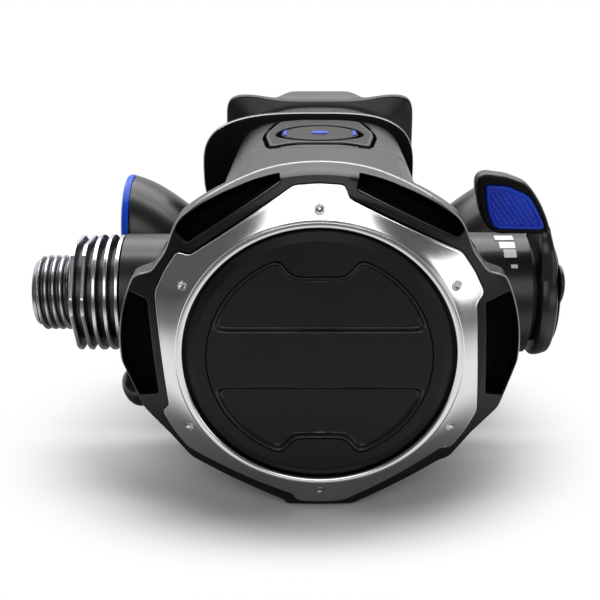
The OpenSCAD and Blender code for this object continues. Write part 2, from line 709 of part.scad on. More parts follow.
module clamp_badge() color(satin_black) placed() difference() {
    intersection() {
        badge_column(0);
        neck(-badge_stand, clamp_y0, clamp_y1);
    }
    neck(badge_depth - slip, clamp_y0 - 1, clamp_y1 + 1);
    // an oval line round the middle of the plate
    translate([0, badge_middle_y, 20]) linear_extrude(20) difference() {
        polygon(oval(17, 10.4, 2, 48));
        polygon(oval(15.8, 9.4, 2, 48));
    }
}

// Three small drops of colour on the plate
module badge_inlay() color(royal_blue) placed() for (k = [-1, 0, 1])
    translate([badge_mark_x * k, badge_middle_y, mouth_z + neck_h(badge_middle_y) / 2 + badge_stand + slip])
        cylinder(r = 0.8, h = 0.15, $fn = 32);

case_shell();
front_frame();
bezel();
bezel_pins();
purge_cover();
diaphragm_ring();
diaphragm();
diaphragm_plate();
valve_barrel();
inlet_fitting();
heat_exchanger();
orifice();
inlet_seals();
demand_lever();
lever_pin();
poppet();
poppet_seat();
poppet_spring();
spring_pad();
adjusting_screw();
screw_seal();
adjusting_knob();
knob_cap();
barrel_bushing();
venturi_sleeve();
venturi_lever();
venturi_pad();
scale_marks();
exhaust_valve();
exhaust_tee();
exhaust_trim_left();
exhaust_trim_right();
mouthpiece();
mouthpiece_clamp();
clamp_badge();
badge_inlay();
lock_plug();
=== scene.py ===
import json
import math

import bpy
import numpy as np
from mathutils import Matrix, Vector


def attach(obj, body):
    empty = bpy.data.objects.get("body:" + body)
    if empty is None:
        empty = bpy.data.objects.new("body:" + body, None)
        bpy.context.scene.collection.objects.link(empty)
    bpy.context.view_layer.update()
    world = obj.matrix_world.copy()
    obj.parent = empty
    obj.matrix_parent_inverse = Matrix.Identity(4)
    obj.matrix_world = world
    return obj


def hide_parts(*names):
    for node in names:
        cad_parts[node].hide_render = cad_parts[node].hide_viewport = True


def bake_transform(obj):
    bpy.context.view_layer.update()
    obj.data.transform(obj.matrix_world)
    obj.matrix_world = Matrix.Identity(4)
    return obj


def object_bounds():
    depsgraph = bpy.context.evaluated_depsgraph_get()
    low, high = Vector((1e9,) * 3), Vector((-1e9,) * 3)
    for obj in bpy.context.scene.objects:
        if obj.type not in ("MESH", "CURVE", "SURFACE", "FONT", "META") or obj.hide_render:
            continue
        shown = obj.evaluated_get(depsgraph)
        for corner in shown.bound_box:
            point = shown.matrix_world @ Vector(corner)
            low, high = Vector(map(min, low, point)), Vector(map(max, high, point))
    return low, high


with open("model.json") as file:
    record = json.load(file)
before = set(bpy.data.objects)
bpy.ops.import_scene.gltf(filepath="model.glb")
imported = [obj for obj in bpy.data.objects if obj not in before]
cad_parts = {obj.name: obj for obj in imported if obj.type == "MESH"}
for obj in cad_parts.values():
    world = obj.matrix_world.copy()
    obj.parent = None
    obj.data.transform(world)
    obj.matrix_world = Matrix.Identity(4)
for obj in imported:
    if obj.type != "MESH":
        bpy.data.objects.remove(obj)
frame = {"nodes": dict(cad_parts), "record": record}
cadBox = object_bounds()
print("frame loaded")

# Shapes are worked out in millimetres about the purge cover's centre, as in part.scad: X right, Y away, Z up.
frameShift = np.array([4.4, -44.7, 31.9])
barrelY, barrelZ = 23.3, 3.5  # the valve barrel's axis, which runs along X
mouthZ = 18.2  # the middle of the neck and the mouthpiece


def toFrame(points):
    # metres in the row frame = (millimetres + shift) / 1000
    return (np.asarray(points, float) + frameShift) * 0.001


# Shader maths

class Wire:
    # One output socket of a material's node. Arithmetic on it adds Math nodes.
    def __init__(self, finish, socket):
        self.finish, self.socket = finish, socket

    def calc(self, operation, other=None, swapped=False):
        # operation(self, other), or operation(other, self) where they are swapped
        values = [self] if other is None else ([other, self] if swapped else [self, other])
        return self.finish.add("ShaderNodeMath", {"operation": operation}, dict(enumerate(values)))

    def __add__(self, other):
        return self.calc("ADD", other)

    def __sub__(self, other):
        return self.calc("SUBTRACT", other)

    def __rsub__(self, other):
        return self.calc("SUBTRACT", other, True)

    def __mul__(self, other):
        return self.calc("MULTIPLY", other)

    __radd__, __rmul__ = __add__, __mul__

    def size(self):
        return self.calc("ABSOLUTE")

    def root(self):
        return self.calc("SQRT")

    def most(self, other):
        return self.calc("MAXIMUM", other)

    def soft(self, operation, other, width):
        return self.finish.add("ShaderNodeMath", {"operation": operation}, {0: self, 1: other, 2: width})

    def ramp(self, low, high, bottom=0.0, top=1.0):
        # smooth rise from bottom at low to top at high
        values = {"Value": self, "From Min": low, "From Max": high, "To Min": bottom, "To Max": top}
        return self.finish.add("ShaderNodeMapRange", {"interpolation_type": "SMOOTHSTEP"}, values)


class Room:
    # A node tree. Nodes are added with their settings first, then the values or links of their sockets.
    def __init__(self, tree, output):
        self.tree, self.output = tree, tree.nodes[output]

    def add(self, kind, settings, values, out=0):
        node = self.tree.nodes.new(kind)
        for key, value in settings.items():
            setattr(node, key, value)
        for key, value in values.items():
            if isinstance(value, Wire):
                self.tree.links.new(value.socket, node.inputs[key])
            else:
                node.inputs[key].default_value = value
        return Wire(self, node.outputs[out])

    def rays(self):
        # whether the ray that arrives is the camera's, or one from a mirror or through something clear
        node = self.add("ShaderNodeLightPath", {}, {}).socket.node
        kinds = ("Is Camera Ray", "Is Glossy Ray", "Is Transmission Ray")
        camera, glossy, clear = (Wire(self, node.outputs[kind]) for kind in kinds)
        return camera, glossy.most(clear)

    def mixed(self, share, first, second):
        # the first shader where share is 0 and the second where it is 1
        return self.add("ShaderNodeMixShader", {}, {0: share, 1: first, 2: second})

    def close(self, shader):
        self.tree.links.new(shader.socket, self.output.inputs[0])


class Finish(Room):
    # One procedural material: a Principled surface whose varying inputs come from object coordinates.
    def __init__(self, name, color, roughness, metallic=0.0, specular=0.5, ior=1.5):
        self.material = bpy.data.materials.new(name)
        self.material.use_nodes = True
        super().__init__(self.material.node_tree, "Material Output")
        self.surface = self.tree.nodes["Principled BSDF"]
        fixed = {"Base Color": (*color, 1.0), "Roughness": roughness, "Metallic": metallic,
                 "Specular IOR Level": specular, "IOR": ior}
        for key, value in fixed.items():
            self.surface.inputs[key].default_value = value
        self.place = self.add("ShaderNodeTexCoord", {}, {}, "Object")
        self.plain = Wire(self, self.surface.outputs[0])

    def set(self, **values):
        # links to the surface's sockets, with _ for the spaces in their names
        for key, value in values.items():
            self.tree.links.new(value.socket, self.surface.inputs[key.replace("_", " ")])

    def axes(self):
        # the place on the object in millimetres, as three numbers
        split = self.add("ShaderNodeSeparateXYZ", {}, {0: self.place}).socket.node
        return [Wire(self, split.outputs[k]) * 1000.0 - float(frameShift[k]) for k in range(3)]

    def noise(self, perMetre, detail=3.0, roughness=0.5, stretch=None):
        # clouds about 0.5, or lines where one axis is stretched
        place = self.place
        if stretch:
            place = self.add("ShaderNodeMapping", {}, {"Vector": self.place, "Scale": stretch})
        values = {"Vector": place, "Scale": perMetre, "Detail": detail, "Roughness": roughness}
        return self.add("ShaderNodeTexNoise", {}, values, "Fac")

    def blend(self, amount, first, second):
        # colour from first to second by amount; sockets 0, 6, 7 and 2 are the node's colour ones
        colors = {0: amount, 6: (*first, 1.0), 7: (*second, 1.0)}
        return self.add("ShaderNodeMix", {"data_type": "RGBA"}, colors, 2)

    def bump(self, height, depthMm):
        return self.add("ShaderNodeBump", {}, {"Height": height, "Distance": depthMm * 0.001}, "Normal")


def plasticFinish(name, color, lift, roughness, grainPerMetre, grainMm, specular=0.5, ior=1.5):
    # moulded plastic: cloudy tone, fine spark-eroded grain, slightly polished where the noise is high
    f = Finish(name, color, roughness, specular=specular, ior=ior)
    cloud = f.noise(90.0, 4.0)
    grain = f.noise(grainPerMetre, 2.0, 0.6)
    tone = cloud.ramp(0.35, 0.68)
    f.set(Base_Color=f.blend(tone, color, lift),
          Roughness=roughness - 0.05 + tone * 0.06 + grain * 0.05,
          Normal=f.bump(grain, grainMm))
    return f


def mouldedPlastic(*values):
    # plastic without the painted shade line
    return plasticFinish(*values).material


# line and lineRounding shape the painted shade line on the cover's front
coverForm = {"panelEdge": 5.4, "lineReach": 19.7, "notchHalf": 4.5, "notchHeight": 15.4, "notchSlope": 0.78,
             "notchCosine": 0.79, "recess": 0.8, "line": (0.06, 0.17), "lineRounding": 1.9}


def shadeLinedPlastic(*values):
    # plastic with a fine painted shade line on its front, the dark of the groove round the panels, where a
    # smooth least of the distances to the circle and to the notch is nearly zero
    f = plasticFinish(*values)
    x, y, z = f.axes()
    wide, high = x.size(), z.size()
    rounding = coverForm["lineRounding"]
    overNotch = coverForm["notchHeight"] - high
    besideNotch = wide - coverForm["notchHalf"] + overNotch * coverForm["notchSlope"]
    besideNotch = besideNotch * coverForm["notchCosine"]
    inCircle = coverForm["lineReach"] - (x * x + z * z).root()
    away = inCircle.soft("SMOOTH_MIN", besideNotch.soft("SMOOTH_MAX", overNotch, rounding), rounding).size()
    line = away.ramp(*coverForm["line"], 1.0, 0.0) * y.ramp(0.0, 0.2, 1.0, 0.0)
    dark = f.add("ShaderNodeBsdfDiffuse", {}, {"Color": (0.001, 0.001, 0.001, 1)})
    f.close(f.mixed(line, f.plain, dark))
    return f.material


def turnedMetal(name, color, lift, roughness, axis, linesMm, depthMm):
    # lathe-turned metal: fine lines round the axis, a few of them deeper, and faint smears
    f = Finish(name, color, roughness, metallic=1.0)
    stretch = [60.0, 60.0, 60.0]
    stretch[axis] = 1000.0 / linesMm
    lines = f.noise(1.0, 2.0, 0.7, stretch)
    smear = f.noise(70.0, 3.0)
    f.set(Base_Color=f.blend(smear.ramp(0.3, 0.7), color, lift),
          Roughness=roughness - 0.04 + lines * 0.08 + smear.ramp(0.45, 0.75) * 0.05,
          Normal=f.bump(lines, depthMm))
    return f.material


# tone, lighter tone, roughness, grains per metre, their depth in mm, specular level and index of refraction
plastics = {
    "satin_black": ((0.0055, 0.0056, 0.006), (0.008, 0.0081, 0.0085), 0.33, 2600.0, 0.006),
    "frame_black": ((0.005, 0.0051, 0.0055), (0.007, 0.0071, 0.0075), 0.33, 2600.0, 0.005, 0.34),
    "plug_black": ((0.005, 0.005, 0.006), (0.007, 0.007, 0.008), 0.1, 1500.0, 0.002),
    "mouth_rubber": ((0.0055, 0.0055, 0.006), (0.009, 0.009, 0.0095), 0.36, 1800.0, 0.006, 0.45),
    "sleeve_plastic": ((0.008, 0.008, 0.009), (0.011, 0.011, 0.012), 0.5, 2000.0, 0.006, 0.3),
    # ridge_black: glossier, and lighter in tone as a painted highlight on thin ridges and edges
    "ridge_black": ((0.04, 0.04, 0.042), (0.05, 0.05, 0.052), 0.2, 2600.0, 0.003, 1.0, 1.9),
    # face_black: rougher and duller, and darker in tone as painted shade on faces turned from the light
    "face_black": ((0.0025, 0.0025, 0.0026), (0.0035, 0.0035, 0.0036), 0.5, 2600.0, 0.004, 0.12),
    # shadow_black: painted shade, near black and without reflection, in recesses, grooves and cuts
    "shadow_black": ((0.003, 0.003, 0.0031), (0.004, 0.004, 0.0041), 0.85, 2600.0, 0.006, 0.0),
    "white_plastic": ((0.78, 0.78, 0.77), (0.84, 0.84, 0.83), 0.45, 2400.0, 0.004),
    "silicone": ((0.6, 0.6, 0.56), (0.68, 0.68, 0.64), 0.38, 1200.0, 0.004),
    "royal_blue": ((0.002, 0.026, 0.42), (0.004, 0.045, 0.56), 0.34, 2400.0, 0.005, 0.35),
    # trim_blue: the royal blue made lighter on the trims, a painted highlight where they face the light
    "trim_blue": ((0.003, 0.065, 0.60), (0.005, 0.09, 0.70), 0.32, 2400.0, 0.004, 0.3),
}
# tone, lighter tone, roughness, the axis it was turned about, the lines' spacing and depth in mm
metals = {
    "bezel_steel": ((0.70, 0.705, 0.715), (0.76, 0.765, 0.77), 0.15, 1, 0.12, 0.0006),
    "fin_steel": ((0.62, 0.625, 0.64), (0.70, 0.705, 0.715), 0.22, 0, 0.1, 0.001),
    "plain_steel": ((0.44, 0.445, 0.46), (0.54, 0.545, 0.555), 0.26, 0, 0.12, 0.0015),
    # gap_steel: steel painted near black as shade in thread roots and between fins
    "gap_steel": ((0.075, 0.077, 0.082), (0.10, 0.102, 0.108), 0.38, 0, 0.12, 0.002),
    "plated_brass": ((0.62, 0.54, 0.36), (0.7, 0.62, 0.43), 0.26, 0, 0.14, 0.001),
}
coverBlack = ((0.005, 0.0051, 0.0055), (0.007, 0.0071, 0.0075), 0.45, 3200.0, 0.008, 0.24)


def camelCase(slot):
    # satin_black becomes satinBlack
    first, *rest = slot.split("_")
    return first + "".join(word.title() for word in rest)


finishes = {"cover_black": shadeLinedPlastic("coverBlack", *coverBlack)}
for kind, table in ((mouldedPlastic, plastics), (turnedMetal, metals)):
    finishes.update({slot: kind(camelCase(slot), *values) for slot, values in table.items()})
slotOf = {p["node"]: p["material_slot"] for p in frame["record"]["subparts"]}
for nodeName, cadObject in frame["nodes"].items():
    cadObject.data.materials.clear()
    # trim parts get the lighter blue, a painted highlight
    cadObject.data.materials.append(finishes["trim_blue" if "trim" in nodeName else slotOf[nodeName]])
print("finishes made")


# Shapes

def rounded(corners, radius, closed=False, steps=5):
    # Each corner becomes a short curve between two points set back from it:
    # (1-t)^2 a + 2t(1-t) corner + t^2 b. A support point before and after keeps the flats flat.
    corners = np.asarray(corners, float)
    radii = np.broadcast_to(radius, len(corners))
    path = []
    for i, corner in enumerate(corners):
        if not closed and i in (0, len(corners) - 1):
            path.append(corner[None])
            continue
        back, ahead = corners[i - 1] - corner, corners[(i + 1) % len(corners)] - corner
        backLength, aheadLength = np.linalg.norm(back), np.linalg.norm(ahead)
        reach = min(radii[i], 0.46 * backLength, 0.46 * aheadLength)
        if reach < 0.01:
            path.append(corner[None])
            continue
        a, b = corner + back / backLength * reach, corner + ahead / aheadLength * reach
        t = np.linspace(0, 1, steps + 1)[:, None]
        support = 0.06 * reach
        curve = (1 - t) ** 2 * a + 2 * t * (1 - t) * corner + t ** 2 * b
        path += [(a + back / backLength * support)[None], curve, (b + ahead / aheadLength * support)[None]]
    return np.concatenate(path)


def evenly(path, count):
    # a closed path resampled at equal steps of its length
    loop = np.concatenate([path, path[:1]])
    length = np.concatenate([[0], np.cumsum(np.linalg.norm(np.diff(loop, axis=0), axis=1))])
    where = np.linspace(0, length[-1], count, endpoint=False)
    return np.stack([np.interp(where, length, loop[:, k]) for k in range(path.shape[1])], -1)


def reachOf(path, angles):
    # distance from the centre to a closed outline in each direction
    fine = evenly(path, 4000)
    turn = np.arctan2(fine[:, 1], fine[:, 0])
    return np.interp(angles, turn, np.hypot(fine[:, 0], fine[:, 1]), period=2 * np.pi)


def inwards(path, distance):
    # a closed outline moved along its own normals; distance may vary with the point
    along = np.roll(path, -2, 0) - np.roll(path, 2, 0)
    normal = np.stack([-along[:, 1], along[:, 0]], -1)
    normal /= np.linalg.norm(normal, axis=1, keepdims=True) + 1e-9
    area = np.sum(path[:, 0] * np.roll(path[:, 1], -1) - np.roll(path[:, 0], -1) * path[:, 1])
    return path + normal * np.sign(area) * distance


def awayFrom(path, x, y):
    # signed distance to a closed path, positive outside; every edge at once
    a, b = path[None], np.roll(path, -1, 0)[None]
    p = np.stack([x.ravel(), y.ravel()], -1)[:, None]
    edge = b - a
    t = np.clip(np.sum((p - a) * edge, -1) / np.sum(edge * edge, -1), 0, 1)
    distance = np.linalg.norm(p - a - edge * t[..., None], axis=-1).min(1)
    above = (a[..., 1] > p[..., 1]) != (b[..., 1] > p[..., 1])
    with np.errstate(divide="ignore", invalid="ignore"):
        cross = p[..., 0] < edge[..., 0] * (p[..., 1] - a[..., 1]) / edge[..., 1] + a[..., 0]
    inside = (np.sum(above & cross, 1) % 2) == 1
    return np.where(inside, -distance, distance).reshape(x.shape)


def circle(count):
    # evenly spread angles: 2 pi k / count
    return np.arange(count) * (2 * np.pi / count)


def mix(a, b, share):
    # a + (b - a) share
    return a + (b - a) * share


def smoothStep(x):
    # x^2 (3 - 2x) between 0 and 1
    x = np.clip(x, 0, 1)
    return x * x * (3 - 2 * x)


def wave(power, angle):
    # signed power of a cosine, for rounded ovals
    return np.sign(np.cos(angle)) * np.abs(np.cos(angle)) ** power


def ovalAt(angle, wide, high, power):
    # points of a rounded oval: (wide cos^power, high sin^power), with their signs
    return np.stack([wide * wave(power, angle), high * wave(power, angle - np.pi / 2)], -1)


def meshed(points, faces):
    # faces turned outward by the sign of the enclosed volume: sum of a.(b x c) over the fans of all faces
    volume = 0.0
    for some in faces:
        for k in range(1, some.shape[1] - 1):
            a, b, c = points[some[:, 0]], points[some[:, k]], points[some[:, k + 1]]
            volume += float(np.sum(a * np.cross(b, c)))
    return [some if volume > 0 else some[:, ::-1] for some in faces]


def skinned(rings, loop):
    # points and faces over rings of points; unless the rings loop, a fan round its middle closes each end
    rings = np.asarray(rings, float)
    rows, cols = rings.shape[:2]
    index = np.arange(rows * cols).reshape(rows, cols)
    a, b = (index, np.roll(index, -1, 0)) if loop else (index[:-1], index[1:])
    faces = [np.stack([a, np.roll(a, -1, 1), np.roll(b, -1, 1), b], -1).reshape(-1, 4)]
    points = rings.reshape(-1, 3)
    if not loop:
        points = np.concatenate([points, rings[:1].mean(1), rings[-1:].mean(1)])
        first, last = index[0], index[-1]
        fan = [np.stack([np.roll(first, -1), first, np.full(cols, rows * cols)], -1),
               np.stack([last, np.roll(last, -1), np.full(cols, rows * cols + 1)], -1)]
        faces.append(np.concatenate(fan))
    return points, meshed(points, faces)


def placed(name, data):
    # a new object in the scene
    item = bpy.data.objects.new(name, data)
    bpy.context.scene.collection.objects.link(item)
    return item


def piece(name, parts, body, slotName, stands, sharp=38, others=()):
    # parts: one or more (rings, loop) pairs that make one mesh
    # others: further finishes, each with a test of the faces' middles
    allPoints, allFaces, offset = [], [], 0
    for rings, loop in parts:
        points, faces = skinned(rings, loop)
        allFaces += [row for some in faces for row in (some + offset).tolist()]
        allPoints.append(points)
        offset += len(points)
    mesh = bpy.data.meshes.new(name)
    mesh.from_pydata(toFrame(np.concatenate(allPoints)).tolist(), [], allFaces)
    mesh.shade_smooth()
    mesh.set_sharp_from_angle(angle=math.radians(sharp))
    item = placed(name, mesh)
    mesh.materials.append(finishes[slotName])
    centres = np.empty(len(mesh.polygons) * 3)
    mesh.polygons.foreach_get("center", centres)
    x, y, z = (centres.reshape(-1, 3) * 1000 - frameShift).T
    slotIndex = np.zeros(len(x), np.int32)
    for finish, test in others:
        slotIndex[test(x, y, z)] = len(mesh.materials)
        mesh.materials.append(finishes[finish])
    mesh.polygons.foreach_set("material_index", slotIndex)
    if isinstance(body, str):
        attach(item, body)
    else:
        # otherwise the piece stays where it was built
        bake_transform(item)
    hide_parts(*stands)
    print("made", name, len(mesh.polygons))


def spun(radius, along, axis, centre=(0, 0, 0)):
    # radius and depth per row and column, turned about an axis: r cos a and r sin a across it
    radius, along = np.broadcast_arrays(radius, along)
    angle = circle(radius.shape[1])
    across, up = radius * np.cos(angle), radius * np.sin(angle)
    places = (across, along, up) if axis == "y" else (along, across, up)
    return np.stack(places, -1) + np.asarray(centre, float)


def turned(rows, count, axis, centre=(0, 0, 0)):
    # each row is a radius and a depth, the same all round or one value per column
    return spun(*(np.stack([np.broadcast_to(row[k], count) for row in rows]) for k in (0, 1)), axis, centre)


def overs(outline, y, z=mouthZ):
    # an outline in X and Z stood up at depth y
    return np.stack([outline[:, 0], np.broadcast_to(y, len(outline)), outline[:, 1] + z], -1)


def layers(outline, steps):
    # an outline stood up at each depth, moved inwards by that step's inset
    return [overs(inwards(outline, inset), y, 0) for y, inset in steps]


barrel = (0, barrelY, barrelZ)
fineCount = 1440
turns = circle(fineCount)

# Bezel and front frame

bezelForm = {"tabReach": 30.6, "sideReach": 28.2, "opening": 23.75, "dishReach": 25.2, "cornerRadius": 0.9}


def bezelPath(grow):
    # six tabs 16 degrees wide; each steps down on its clockwise side and runs straight to the next tab
    reach, side = bezelForm["tabReach"] + grow, bezelForm["sideReach"] + grow
    corners = []
    for middle in range(90, -270, -60):
        for r, a in ((reach, 8), (reach, 0), (reach, -8), (side + 0.5, -10), (side + 0.1, -13)):
            t = math.radians(middle + a)
            corners.append((r * math.cos(t), r * math.sin(t)))
    return rounded(corners, bezelForm["cornerRadius"], True)


def bezelDepth(r):
    # the dish: depth = 3 ((r - 25.2) / 5.8)^1.15 - 0.2
    return 3 * (np.maximum(r - bezelForm["dishReach"], 0) / 5.8) ** 1.15 - 0.2


pinForm = {"count": 6, "ringReach": 26.85, "headReach": 0.8, "hollow": 0.55,
           "section": ((0.01, -0.3), (0.16, -0.29), (0.3, -0.25), (0.42, -0.17), (0.52, -0.07), (0.6, 0.01),
                       (0.66, 0.03), (0.71, 0.02), (0.74, -0.04), (0.74, -0.5))}


def pinHollow(r, turn):
    # the dish sinks under each pin's head, by the distance to the nearest of them
    gap = 2 * math.pi / pinForm["count"]
    off = turn % gap - gap / 2
    away = np.hypot(r * np.cos(off) - pinForm["ringReach"], r * np.sin(off))
    return pinForm["hollow"] * smoothStep((pinForm["headReach"] - away) / 0.14)


def makeBezel():
    # cross-section: the opening's wall, the thin lip, down the dish to the tabs' edge and round the back
    edge, opening, dish = reachOf(bezelPath(0), turns), bezelForm["opening"], bezelForm["dishReach"]
    rows = [(opening, 1.1), (opening, 0.1), (opening + 0.01, -0.1), (opening + 0.09, -0.32),
            (opening + 0.25, -0.5), (opening + 0.5, -0.59), (dish - 0.38, -0.6), (dish - 0.28, -0.57),
            (dish - 0.22, -0.5), (dish - 0.1, -0.3), (dish, -0.2)]
    face = [dish + (edge - 0.3 - dish) * share for share in np.linspace(0.02, 1, 44)]
    rows += [(r, bezelDepth(r) + pinHollow(r, turns)) for r in face]
    end = bezelDepth(face[-1])
    rows += [(edge - 0.14, end + 0.05), (edge - 0.03, end + 0.15), (edge, end + 0.32), (edge, 3.1),
             (edge - 0.02, 3.2), (25.9, 3.2), (25.9, 1.1)]
    piece("bezelRing", [(turned(rows, fineCount, "y"), True)], "case", "bezel_steel", ["bezel"], 50)


frameForm = {"top": 32.8, "side": 35.7, "hollow": 2.4, "rim": 0.5, "band": 1.75, "floorDepth": 7.6,
             "edgeDepth": 8.6, "windows": ((-15.5, 18.3), (41.9, 78.3), (101.7, 138.1), (161.7, 195.5))}


def framePath(spread):
    # r = top + (side - top) |cos a|^2.5 - a hollow over each boss; below the barrel it follows the tabs
    degrees = np.arange(180, -1, -1.5)
    a, low = np.radians(degrees), np.minimum(degrees, 180 - degrees)
    r = frameForm["top"] + (frameForm["side"] - frameForm["top"]) * np.abs(np.cos(a)) ** 2.5
    r -= frameForm["hollow"] * smoothStep((low - 22) / 6) * smoothStep((47 - low) / 14)
    upper = np.stack([r * np.cos(a), r * np.sin(a)], -1)
    lower = np.array([[35.6, -2.5], [32.6, -11.8], [27.7, -16.7], [24, -21.7], [22.2, -22.1],
                      [6.2, -31.9], [-6.3, -31.9], [-6.8, -30.8], [-23.7, -21.6], [-27.2, -17],
                      [-32, -11.8], [-35.6, -2.5]])
    out = np.array([0, 1, 1, 1, 1, 0, 0, 1, 1, 1, 1, 0])[:, None] * spread
    return rounded(np.concatenate([upper, lower + out * np.sign(lower)]), 0.8, True)


def makeFrame():
    # Rows run from the bezel's pocket over the face, down into the windows and up again, over the rim and
    # round the back. Across a window the face drops to its floor; elsewhere the same rows lie on the face.
    pocket = reachOf(bezelPath(0.12), turns)
    rim, back = reachOf(framePath(0), turns), reachOf(framePath(0.8), turns)
    degrees = (np.degrees(turns) + 90) % 360 - 90
    open_ = np.zeros(fineCount)
    for start, end in frameForm["windows"]:
        open_ = np.maximum(open_, smoothStep((degrees - start) / 0.7) * smoothStep((end - degrees) / 0.7))
    far = rim - frameForm["rim"]
    near = np.minimum(reachOf(bezelPath(frameForm["band"]), turns), far - 0.5)

    def faceDepth(r):
        return np.interp(r, [25.9, 28.6, 29.4, 33.2, 34.0, 37.7], [2.2, 2.2, 2.42, 4.05, 4.35, 5.6])

    rows = [(pocket, 3.2), (pocket, faceDepth(pocket) + 0.14), (pocket + 0.05, faceDepth(pocket) + 0.03),
            (pocket + 0.16, faceDepth(pocket + 0.16))]
    for u in (0.25, 0.5, 0.75):
        r = pocket + 0.16 + (near - 0.25 - pocket - 0.16) * u
        rows.append((r, faceDepth(r)))
    for step, sink in ((-0.25, 0), (-0.14, 0.02), (0.0, 0.12), (0.07, 0.3)):
        rows.append((near + step, faceDepth(near + step) + sink * open_))
    # From the face the rim slopes back to a thin ridge, 8.3 mm deep at the top and nearer the face towards
    # the bosses: depth = face + (ridge - face) u^1.8 over the slope's width
    off = np.abs((np.degrees(turns) + 90) % 360 - 180)
    edge, wall = faceDepth(rim), frameForm["edgeDepth"]
    full = smoothStep((44 - off) / 10)
    slope = np.interp(off, [0, 20, 34, 44], [1.2, 1.1, 0.6, 0.27])
    ridge = np.interp(off, [0, 12, 17, 22, 28, 34, 44], [8.3, 8.3, 8.0, 7.1, 6.0, 5.2, 4.9])

    def rimDepth(r):
        # the face, and past its edge the slope to the ridge
        start = rim - slope
        u = np.clip((r - start) / slope, 0, 1)
        first = faceDepth(np.minimum(r, start))
        return first + np.maximum(ridge - 0.2 - first, 0) * u ** 1.8

    drops = ((0.1, 0.5), (0.2, 0.94), (0.26, 1.0), (0.5, 1.0), (0.8, 1.0), (0.92, 0.99), (0.955, 0.93))
    for u, drop in drops:
        r = mix(near, far, u)
        flat = rimDepth(r)
        bottom = np.where(r < 31.4, 5.6, frameForm["floorDepth"])
        rows.append((r, mix(flat, bottom, drop * open_)))
    for step, sink in ((-0.02, 0.35), (0.05, 0.14), (0.12, 0.03), (0.16, 0.0), (0.22, 0.0)):
        r = far + step
        rows.append((r, rimDepth(r) + sink * open_))
    # the ridge's rows are mixed from those of the slope and those of the plain edge
    slopeRows = [(-0.14, None), (-0.02, ridge - 0.16), (0.0, ridge - 0.1), (0.09, ridge + 0.05),
                 (0.18, ridge + 0.19), (0.19, ridge + 0.3), (0.1, ridge * 0.6 + wall * 0.4),
                 (0.05, ridge * 0.3 + wall * 0.7), (0.0, wall)]
    edgeRows = [(-0.27, edge - 0.06), (-0.24, edge - 0.02), (-0.235, edge - 0.01), (-0.1, edge + 0.22),
                (-0.005, edge + 0.39), (0.01, edge + 0.44)]
    edgeRows += [((back - rim) * u, edge + 0.44 + (wall - edge - 0.44) * u) for u in (0.1, 0.5, 0.98)]
    ridgeStart = len(rows)
    for (step, depth), (plainStep, plainDepth) in zip(slopeRows, edgeRows):
        depth = rimDepth(rim + step) if depth is None else depth
        rows.append((rim + mix(plainStep, step, full), mix(plainDepth, depth, full)))
    rows += [(back, 8.75), (back - 0.06, 8.92), (back - 0.25, 9.0), (30.9, 9.0), (30.6, 8.9), (30.6, 5.76),
             (25.9, 5.76), (25.9, 3.3), (pocket - 0.1, 3.3)]

    def inWindow(x, y, z):
        # the floors and walls of the windows, painted near black as shade
        r, turn = np.hypot(x, z), np.arctan2(z, x)
        inside = (r < reachOf(framePath(0), turn) - 0.42) & (r > 28.6) & (y > faceDepth(r) + 0.4) & (y < 7.7)
        return inside & (np.interp(turn % (2 * np.pi), turns, open_) > 0.05)

    def onFront(x, y, z):
        # all but the back
        return y < 9

    def onRidge(x, y, z):
        # between the third and the fifth of the ridge's rows, given a lighter, glossier black: a painted
        # highlight
        turn = np.arctan2(z, x) % (2 * np.pi)
        low, high = (np.interp(turn, turns, rows[ridgeStart + k][1], period=2 * np.pi) for k in (2, 4))
        return (np.hypot(x, z) > reachOf(framePath(0), turn) - 0.24) & (y > low - 0.01) & (y < high + 0.01)

    piece("frontFrame", [(turned(rows, fineCount, "y"), True)], "case", "satin_black", ["front_frame"], 44,
          [("frame_black", onFront), ("shadow_black", inWindow), ("ridge_black", onRidge)])


def makePins():
    # six shallow cups whose lips follow the dish
    angle = circle(48)
    parts = []
    for k in range(pinForm["count"]):
        turn = math.radians(90 + 360 * k / pinForm["count"])
        rows = []
        for reach, lift in pinForm["section"]:
            x = pinForm["ringReach"] * math.cos(turn) + reach * np.cos(angle)
            z = pinForm["ringReach"] * math.sin(turn) + reach * np.sin(angle)
            rows.append(np.stack([x, bezelDepth(np.hypot(x, z)) - lift, z], -1))
        parts.append((np.stack(rows), False))
    piece("bezelPins", parts, "case", "bezel_steel", ["bezel_pins"], 60)


makeBezel()
makePins()
makeFrame()

# Purge cover

def softLeast(a, b, sharpness=2.2):
    # smooth minimum: -log(e^-ka + e^-kb) / k, which is the smooth maximum where k is negative
    return -np.logaddexp(-sharpness * a, -sharpness * b) / sharpness


